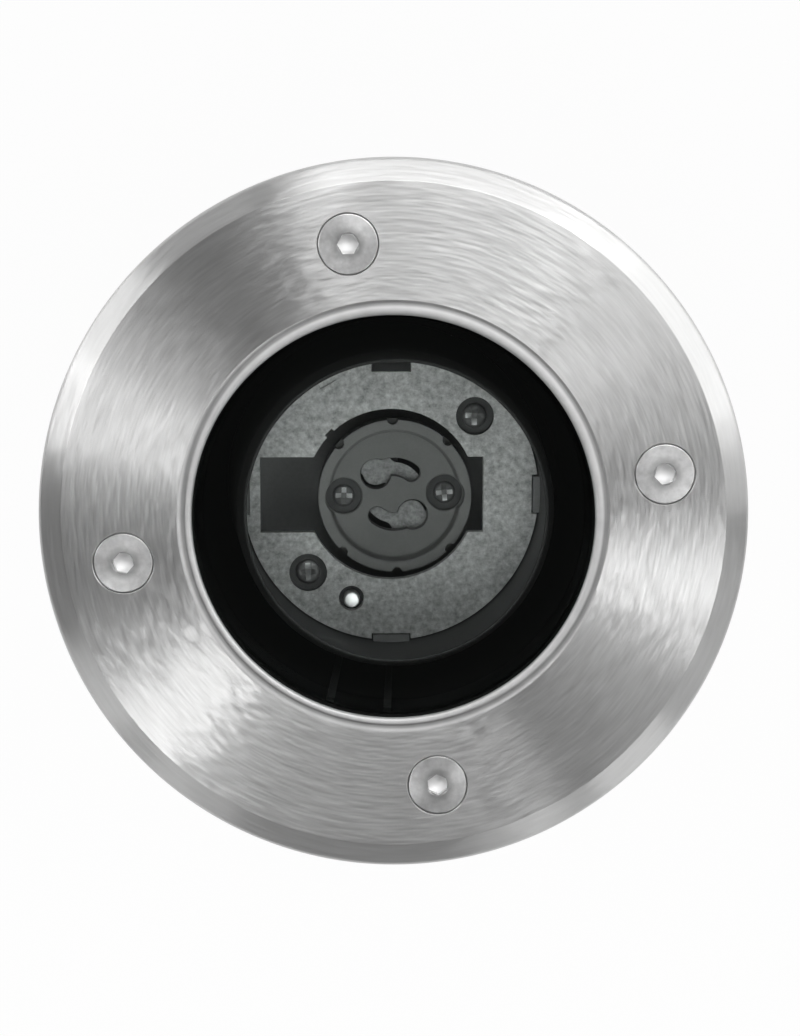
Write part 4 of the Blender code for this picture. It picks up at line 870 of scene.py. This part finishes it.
def cross_cutter(top, depth, reach, width):
    """Two crossed arms: their ends slope gently, and the middle is steep and deep."""
    def arm(growth):
        long, wide = reach + growth, width / 2
        return [(-long, -wide), (long, -wide), (long, wide), (-long, wide)]

    levels = [
        (top - depth, -0.75 * reach), (top - 0.4, -0.5 * reach), (top - 0.12, 0), (top + 0.1, 0),
    ]
    arms = [moved(lofted(arm, levels), turn(angle)) for angle in (0, 90)]
    return carved(arms[0], [arms[1]], "UNION")


def pan_screw(radius, head_radius, head_height, length, arms):
    """A screw whose head sits on z = 0; its arms with a painted glint count from east, by
    quarters.
    """
    outline = [(head_radius * across, head_height * up) for across, up in PAN_HEAD]
    outline += [(radius, 0), (radius, -length), (0, -length)]
    recess = cross_cutter(head_height, RECESS_DEPTH, head_radius * 0.92, head_radius * 0.44)
    screw = carved(spun(outline, 48), [recess])
    screw.normal_update()
    for face in screw.faces:
        outwards = face.calc_center_median().xy.normalized()
        arm = round(math.atan2(outwards.y, outwards.x) / (math.pi / 2)) % 4
        leans_in = face.normal.z > 0.6 and face.normal.xy.dot(outwards) < -0.15
        if leans_in and arm in arms:
            face.material_index = 1
    return screw


dull_head = Finish("dull_head", 0.55, 0.6)
grit = dull_head.speckle(1100.0, 3.0, 0.7)
tone = 0.20 + (grit - 0.5) * 0.2
dull_head.set(Base_Color=dull_head.grey(tone))
dull_head.bump(grit, 0.05 * MM, 0.5)

# A bright colour on the sloped arm ends: a painted glint.
painted_arm_glint = Finish("arm_slope_painted_glint", 0.5, 0.4)
glint = painted_arm_glint.speckle(420.0, 1.0)
painted_arm_glint.set(Base_Color=painted_arm_glint.grey(glint.ramp(0.35, 0.65, 0.5, 0.95)))

small_steel = Finish("zinc_steel", 0.34, 1.0)
grit = small_steel.speckle(1500.0, 3.0, 0.7)
tone = 0.42 + (grit - 0.5) * 0.4
small_steel.set(Base_Color=small_steel.grey(tone), Roughness=0.38 + grit * 0.12)
small_steel.bump(grit, 0.05 * MM, 0.6)

PLATE_SEAT = PLATE_TOP - 1.3
for number, (middle, arms) in enumerate(zip(well_middles, [(2, 3), (1,)]), start=1):
    shape = pan_screw(1.6, head_radius=2.2, head_height=1.1, length=PLATE_SEAT + 8.5, arms=arms)
    place = shift(*middle, PLATE_SEAT - 0.3) @ turn(6 * number - 9)
    piece(f"plate_bolt_{number}", moved(shape, INSERT @ place), [dull_head, painted_arm_glint], "base",
          [f"plate_screw_{number}"])

HOLDER_SEAT = FACE_Z - 1.0
for number, (side, arms) in enumerate(((-1, (0, 1, 2)), (1, (0, 2, 3))), start=1):
    shape = pan_screw(1.5, head_radius=2.0, head_height=1.0, length=HOLDER_SEAT + 2.8, arms=arms)
    place = shift(side * HOLDER_SCREW_REACH, 0, HOLDER_SEAT - 0.3) @ turn(3 * side)
    piece(f"holder_bolt_{number}", moved(shape, HOLDER @ place), [dull_head, painted_arm_glint], "base",
          [f"holder_screw_{number}"])

# %% [markdown]
# A bright pin comes up through a small hole of the plate, and a flat foot holds it there. Its
# head is a little slanted and stands off the middle of the hole, so its points are moved.

# %% Bright pin
pin_metal = Finish("bright_pin", 0.6, 1.0)
wear = pin_metal.speckle(1200.0, 2.0)
pin_metal.set(Base_Color=(0.97, 0.97, 0.97), Roughness=0.40 + wear * 0.1)
pin_metal.bump(wear, 0.03 * MM, 0.3)
pin_outline = [
    (0, 21.1), (1.05, 21.08), (1.28, 20.98), (1.4, 20.8), (1.45, 20.5), (1.45, 18.6),
    (3.1, 18.6), (3.1, 17.6), (0, 17.6),
]
PIN_SLOPE = 0.3
PIN_ASIDE = (0.05, -0.3, 0)
pin_shape = spun(pin_outline, 40)
# The pin's foot, down in the plate's hole, gets the painted shade of the wells.
mark(pin_shape, 1, lambda spot: spot.z < 18.7)
for vert in pin_shape.verts:
    if vert.co.z > 18.5 * MM and vert.co.xy.length < 1.6 * MM:
        vert.co.z -= PIN_SLOPE * vert.co.y
        vert.co += Vector(PIN_ASIDE) * MM
piece("bright_pin", moved(pin_shape, INSERT @ PIN_PLACE), [pin_metal, painted_well_shade], "base",
      ["plate_pin"])

# %% [markdown]
# ## The lampholder
#
# A lamp with two pins goes into the wide ends of the two bent slots and locks with a twist.
# The body is pressed ceramic: a raised rim with six small notches round a sunk face. The slots'
# outlines are arcs, so they are lofted with a slightly wider mouth to give a soft edge.

# %% Lampholder
ceramic = Finish("grey_ceramic", 0.62)
speck = ceramic.speckle(2600.0, 3.0, 0.6)
clouds = ceramic.speckle(260.0, 2.0)
tone = 0.230 + (speck - 0.5) * 0.05 + (clouds - 0.5) * 0.05
ceramic.set(Base_Color=ceramic.grey(tone, 0.985), Roughness=0.55 + speck * 0.12)
ceramic.bump(speck, 0.02 * MM, 0.4)

HOLDER_RADIUS = 13.9
holder_outline = [
    (0, FACE_Z), (11.30, FACE_Z), (11.50, FACE_Z + 0.14), (11.62, FACE_Z + 0.5),
    (11.72, RIM_TOP - 0.5), (11.85, RIM_TOP - 0.18), (12.1, RIM_TOP), (13.5, RIM_TOP),
    (13.78, RIM_TOP - 0.1), (HOLDER_RADIUS, RIM_TOP - 0.4), (HOLDER_RADIUS, RIM_TOP - 6.0),
    (12.6, RIM_TOP - 6.0), (12.6, HOLDER_UNDER), (0, HOLDER_UNDER),
]
SLOT_HALF_WIDTH = 1.61
ARC_STEPS, END_STEPS = 16, 10


def bent_outline(radius, half, start, end):
    """The outline of a slot along an arc with round ends, as a function of its growth."""
    def outline(growth):
        wide = half + growth
        side = 1 if end > start else -1
        points = []
        for reach, first, last in ((radius + wide, start, end), (radius - wide, end, start)):
            for k in range(ARC_STEPS + 1):
                points.append(polar_point(reach, first + (last - first) * k / ARC_STEPS))
            middle = polar_point(radius, last)
            outwards = last if reach > radius else last + 180
            for k in range(1, END_STEPS):
                x, y = polar_point(wide, outwards + side * 180 / END_STEPS * k)
                points.append((middle[0] + x, middle[1] + y))
        return points
    return outline


tools = []
for flip in (0, 180):
    slot_outline = bent_outline(
        SLOT_CIRCLE, SLOT_HALF_WIDTH, SLOT_WIDE_END + flip, SLOT_NARROW_END + flip,
    )
    tools.append(lofted(slot_outline, [
        (POCKET_TOP - 0.5, 0), (FACE_Z - 0.3, 0), (FACE_Z, 0.12), (FACE_Z + 0.4, 0.5),
    ]))
    mouth = [
        (0, FACE_Z + 0.4), (3.22, FACE_Z + 0.4), (2.84, FACE_Z), (2.72, FACE_Z - 0.3),
        (2.72, POCKET_TOP - 0.5), (0, POCKET_TOP - 0.5),
    ]
    wide_end = polar_shift(SLOT_CIRCLE, SLOT_WIDE_END + flip)
    tools.append(moved(spun(mouth, 48), wide_end))
    tools.append(moved(block((-6.2, 1.0, HOLDER_UNDER - 1), (6.2, 8.9, POCKET_TOP)), turn(flip)))
for angle in (45, 90, 135, 225, 270, 315):
    dent = spun([(0, 18), (1.15, 18), (1.0, RIM_TOP - 0.1), (0.9, 13.3), (0, 13.3)], 28)
    tools.append(moved(dent, polar_shift(HOLDER_RADIUS, angle)))
for side in (-1, 1):
    sink = [
        (0, 18), (3.45, 18), (3.45, FACE_Z), (3.25, FACE_Z - 0.2), (3.25, FACE_Z - 1.3),
        (1.8, FACE_Z - 1.3), (1.8, HOLDER_UNDER - 1), (0, HOLDER_UNDER - 1),
    ]
    tools.append(moved(spun(sink, 48), shift(side * HOLDER_SCREW_REACH, 0)))


def in_holder_sink(spot):
    aside = math.dist((abs(spot.x), spot.y), (HOLDER_SCREW_REACH, 0))
    return aside < 3.35 and 5 < spot.z < FACE_Z - 0.3


holder_shape = carved(spun(holder_outline, 128), tools)
# The holder's screw sinks get the painted shade of the wells.
mark(holder_shape, 1, in_holder_sink)
piece("ceramic_lampholder", moved(holder_shape, HOLDER), [ceramic, painted_well_shade], "base",
      ["lampholder_body"], sharp=30)

# %% [markdown]
# Deep in each slot lies a spring contact. It covers the wide end, where the pin of a lamp comes
# in, and is cut away outside the narrow end, where the pin locks. A leg runs down behind it.

# %% Contacts
contact_metal = Finish("contact_strip", 0.5, 0.4)
sand = contact_metal.speckle(1100.0, 3.0, 0.6)
grains = contact_metal.speckle(2600.0, 2.0, 0.6)
tone = 0.34 + (sand - 0.5) * 0.50 + (grains - 0.5) * 0.22
contact_metal.set(Base_Color=contact_metal.grey(tone), Roughness=0.42 + sand * 0.2)
contact_metal.bump(sand * 0.7 + grains * 0.3, 0.07 * MM, 0.6)

THROUGH = [(9.0, 0), (10.5, 0)]
wide_end = polar_shift(SLOT_CIRCLE, SLOT_WIDE_END)
for number, (flip, cut_from) in enumerate(((0, 82), (180, 72)), start=1):
    strip = block((-5.9, 1.3, 9.4), (5.9, 8.6, 9.9))
    strip = carved(strip, [
        lofted(bent_outline(7.35, 1.8, cut_from, 30), THROUGH),
        moved(lofted(bent_outline(3.0, 0.7, 195, 300), THROUGH), wide_end),
    ])
    strip = carved(strip, [block((-5.9, 8.1, 4.1), (-3.6, 8.6, 9.9))], "UNION")
    piece(f"spring_contact_{number}", moved(strip, HOLDER @ turn(flip)), [contact_metal], "base",
          [f"contact_{number}"], bevel=0.12)

# %% [markdown]
# The insulating disc closes the lampholder from below. The two leads and the two screws pass
# through it, with little room round them, so no light comes up through the floor of the pot.

# %% Insulating disc
board = moulded("insulating_board", 0.08, 0.7, 1200.0, 0.04)
disc = spun([(0, 2.1), (11.85, 2.1), (12.0, 2.25), (12.0, 3.15), (11.85, 3.3), (0, 3.3)], 96)
holes = [moved(tube_cutter(1.2, 1, 5), shift(0, y)) for y in (-5.6, 5.6)]
for side in (-1, 1):
    holes.append(moved(tube_cutter(1.9, 1, 5), shift(side * HOLDER_SCREW_REACH, 0)))
piece("insulating_disc", moved(carved(disc, holes), HOLDER), [board], "base",
      ["lampholder_base"])

# %% [markdown]
# ## The pot
#
# One injection moulding. It is a turned section with ribs on it, so the section is spun with
# rounded corners, and the ribs, bosses and posts are flat or round shapes joined to it. The
# four arches let the supply cable out under the foot.

# %% Moulded pot
POT_SECTION = [
    (36.8, 126.7), (51.7, 126.7), (52.2, 126.5), (52.4, 126.0), (52.4, 114.6), (52.25, 114.3),
    (51.9, 114.2), (50.7, 114.2), (50.35, 114.3), (50.2, 114.6), (50.2, 122.9), (50.0, 123.35),
    (49.5, 123.5), (40.4, 123.5), (39.8, 123.3), (39.6, 122.7), (39.6, 113.1), (39.4, 112.5),
    (37.2, 110.3), (36.95, 109.7), (36.0, 4.0), (36.25, 3.25), (37.0, 3.0), (40.5, 3.0),
    (40.85, 2.85), (41.0, 2.5), (41.0, 0.5), (40.85, 0.15), (40.5, 0), (33.7, 0), (33.35, 0.15),
    (33.2, 0.5), (33.2, 26.0), (32.9, 26.75), (32.2, 27.0), (8.3, 27.0), (8.3, 30.0),
    (33.2, 30.0), (34.2, 118.7), (36.8, 118.7),
]
GUSSET = [
    (38.2, 118.7), (38.2, 124.1), (51.3, 124.1), (51.3, 115.2), (39.9, 95.4), (38.6, 92.2),
    (38.2, 89.0), (37.5, 2.4), (34.6, 2.4), (35.6, 112.7),
]
# pieces that stand on the floor start inside it, at this height
ROOT = 29.4
WALL_RIB = [(34.6, ROOT), (35.6, 108.7), (33.3, 108.7), (32.3, ROOT)]
WALL_RIB_ANGLES = (251.5, 268.0)
POST_PLACES = [Vector(INSERT_MIDDLE) + Vector(middle) for middle in well_middles]


def upright_slab(outline, thickness, angle):
    """A flat shape of (radius, height) points, in mm, that stands on a compass line."""
    slab = lofted(lambda growth: outline, [(-thickness / 2, 0), (thickness / 2, 0)])
    return moved(slab, turn(angle), turn(90, "X"))


joined_on = [upright_slab(GUSSET, 1.8, SCREW_ANGLES[0] + 30 * k) for k in range(12)]
joined_on += [upright_slab(WALL_RIB, 1.3, angle) for angle in WALL_RIB_ANGLES]
boss = [(0, 103.8), (4.3, 103.8), (4.9, 104.05), (5.1, 104.6), (5.1, 124.1), (0, 124.1)]
post = [(0, 63.2), (3.2, 63.2), (3.4, 63.0), (4.2, ROOT), (0, ROOT)]
for angle in SCREW_ANGLES:
    joined_on.append(moved(spun(boss, 48), polar_shift(SCREW_CIRCLE, angle)))
for spot in POST_PLACES:
    joined_on.append(moved(spun(post, 32), shift(*spot)))
    web = [(spot.length, ROOT), (34.6, ROOT), (34.6, 54.0), (spot.length, 54.0)]
    joined_on.append(upright_slab(web, 2.0, math.degrees(math.atan2(spot.y, spot.x))))
for left, right, top in ((-10.05, 14.05, 32.0), (-10.05, -8.65, 39.5), (12.65, 14.05, 39.5)):
    joined_on.append(block((left, -26.2, ROOT), (right, -20.2, top)))

bush_hole = [(0, 127.7), (3.4, 127.7), (3.4, 116.1), (2.8, 116.1), (2.8, 104.7), (0, 104.7)]
cuts = [moved(spun(bush_hole, 40), polar_shift(SCREW_CIRCLE, a)) for a in SCREW_ANGLES]
for spot in POST_PLACES:
    cuts.append(moved(tube_cutter(2.4, 53.7, 64.2, 32), shift(*spot)))
ARCH_RADIUS, ARCH_SPRING = 6.5, 8.5
arch = [(-ARCH_RADIUS, -1.0), (ARCH_RADIUS, -1.0)]
for k in range(25):
    x, z = polar_point(ARCH_RADIUS, 7.5 * k)
    arch.append((x, ARCH_SPRING + z))
for angle in (45, 135):
    passage = lofted(lambda growth: arch, [(-42, 0), (42, 0)])
    cuts.append(moved(passage, turn(SCREW_ANGLES[0] + angle), turn(90, "X")))


def inside_pot(spot):
    reach = spot.xy.length
    return spot.z > ROOT + 0.1 and (reach < 34.9 or (reach < 36.85 and spot.z > 115))


def on_wall_rib(spot):
    compass = math.degrees(math.atan2(spot.y, spot.x)) % 360
    aside = min(abs(compass - angle) for angle in WALL_RIB_ANGLES)
    return inside_pot(spot) and 31.5 < spot.xy.length < 33.35 and aside < 1.2


pot_shape = carved(carved(spun(POT_SECTION, 192), joined_on, "UNION"), cuts)
mark(pot_shape, 1, inside_pot)
mark(pot_shape, 2, on_wall_rib)
pot_inside = moulded("pot_inside", 0.021, 0.8, 1800.0, 0.03, 0.05)
# The two wall ribs are coloured paler than the rest of the inside.
paler_wall_rib = moulded("paler_wall_rib", 0.10, 0.8, 1800.0, 0.03, 0.05)
piece("moulded_pot", pot_shape, [pot_plastic, pot_inside, paler_wall_rib], "base", ["housing_pot"],
      sharp=28)

# %% [markdown]
# ## The cable gland
#
# It seals the supply cable in the floor of the pot: a sleeve with a hexagon under the floor, a
# washer, a locknut above the floor, a rubber seal and a cap nut that presses the seal together
# when it is turned. Each hexagon is cut from a prism by a turned shape that rounds its corners.

# %% Cable gland
HEX_FLATS_PLAY = 0.97


def rounded_nut(flats, low, high):
    """A hexagon whose corners are turned off above and below, in mm."""
    corner = flats / math.sqrt(3)
    round_off = (corner - flats / 2) * 0.6
    flat = flats / 2 * HEX_FLATS_PLAY
    middle = [
        (0, low), (flat, low), (corner, low + round_off), (corner, high - round_off),
        (flat, high), (0, high),
    ]
    return carved(hexagon_cutter(flats, low - 1, high + 1), [spun(middle, 96)], "INTERSECT")


sleeve_outline = [
    (5.2, 36.8), (5.4, 37.0), (7.7, 37.0), (8.0, 36.7), (8.0, 20.9), (7.4, 20.9), (7.4, 12.9),
    (7.2, 12.7), (6.3, 12.7), (6.1, 12.9), (6.1, 21.2), (5.2, 21.2),
]
collar = carved(rounded_nut(20.0, 21.2, 25.4), [tube_cutter(5.6, 20, 27)])
piece("gland_sleeve", carved(spun(sleeve_outline, 64), [collar], "UNION"), [gland_nylon],
      "base", ["gland_body"], bevel=0.15)
lock_ring = carved(rounded_nut(21.0, 30.3, 34.3), [tube_cutter(8.3, 29, 36)])
piece("gland_lock_ring", lock_ring, [gland_nylon], "base", ["gland_locknut"], bevel=0.15)
washer = [
    (8.3, 26.5), (8.5, 26.7), (9.2, 26.7), (9.4, 26.5), (9.4, 25.9), (9.2, 25.7), (8.5, 25.7),
    (8.3, 25.9),
]
piece("gland_sealing_ring", spun(washer, 64), [rubber], "base", ["gland_washer"])
seal = [
    (4.0, 17.0), (4.2, 17.2), (5.6, 17.2), (5.8, 17.0), (5.8, 8.4), (5.6, 8.2), (4.2, 8.2),
    (4.0, 8.4),
]
piece("gland_rubber", spun(seal, 48), [rubber], "base", ["gland_seal"])
cap_outline = [(4.0, 6.1), (4.0, 7.9), (7.7, 7.9), (7.7, 20.9), (8.9, 20.9), (8.9, 11.4)]
for k in range(1, 13):
    across, down = polar_point(1, 7.5 * k)
    cap_outline.append((6.6 + 2.3 * across, 11.4 - 5.5 * down))
cap_outline.append((4.2, 5.9))
collar = carved(rounded_nut(19.0, 11.0, 20.9), [tube_cutter(8.3, 10, 22)])
piece("gland_cap", carved(spun(cap_outline, 64), [collar], "UNION"), [gland_nylon], "gland_cap",
      ["gland_cap_nut"], bevel=0.15)

# %% [markdown]
# ## What stays as it was modelled
#
# The remaining model nodes have the right shape, so they only get a finish of their own.

# %% Finishes of the remaining nodes
brass = Finish("turned_brass", 0.3, 1.0)
grit = brass.speckle(1500.0, 3.0)
brass.set(Base_Color=brass.blend(grit, (0.62, 0.45, 0.2), (0.78, 0.6, 0.32)))
brass.set(Roughness=0.24 + grit * 0.14)

sleeve = moulded("braided_sleeve", 0.34, 0.7, 2600.0, 0.08)
rise = sleeve.split(sleeve.place)[2]
sleeve.set(Base_Color=sleeve.grey(rise.ramp(65 * MM, 68 * MM, 0.34, 0.03)))

looks = {"insert_base": base_plastic, "terminal_block": white_nylon}
numbered = [
    ("lead", 2, sleeve), ("holder_nut", 2, small_steel), ("terminal_barrel", 3, brass),
    ("terminal_screw", 6, small_steel), ("threaded_insert", 4, brass),
]
for stem, count, look in numbered:
    for number in range(1, count + 1):
        looks[f"{stem}_{number}"] = look
for node, look in looks.items():
    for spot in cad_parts[node].material_slots:
        spot.material = look.material
print("model nodes with a finish:", len(looks))
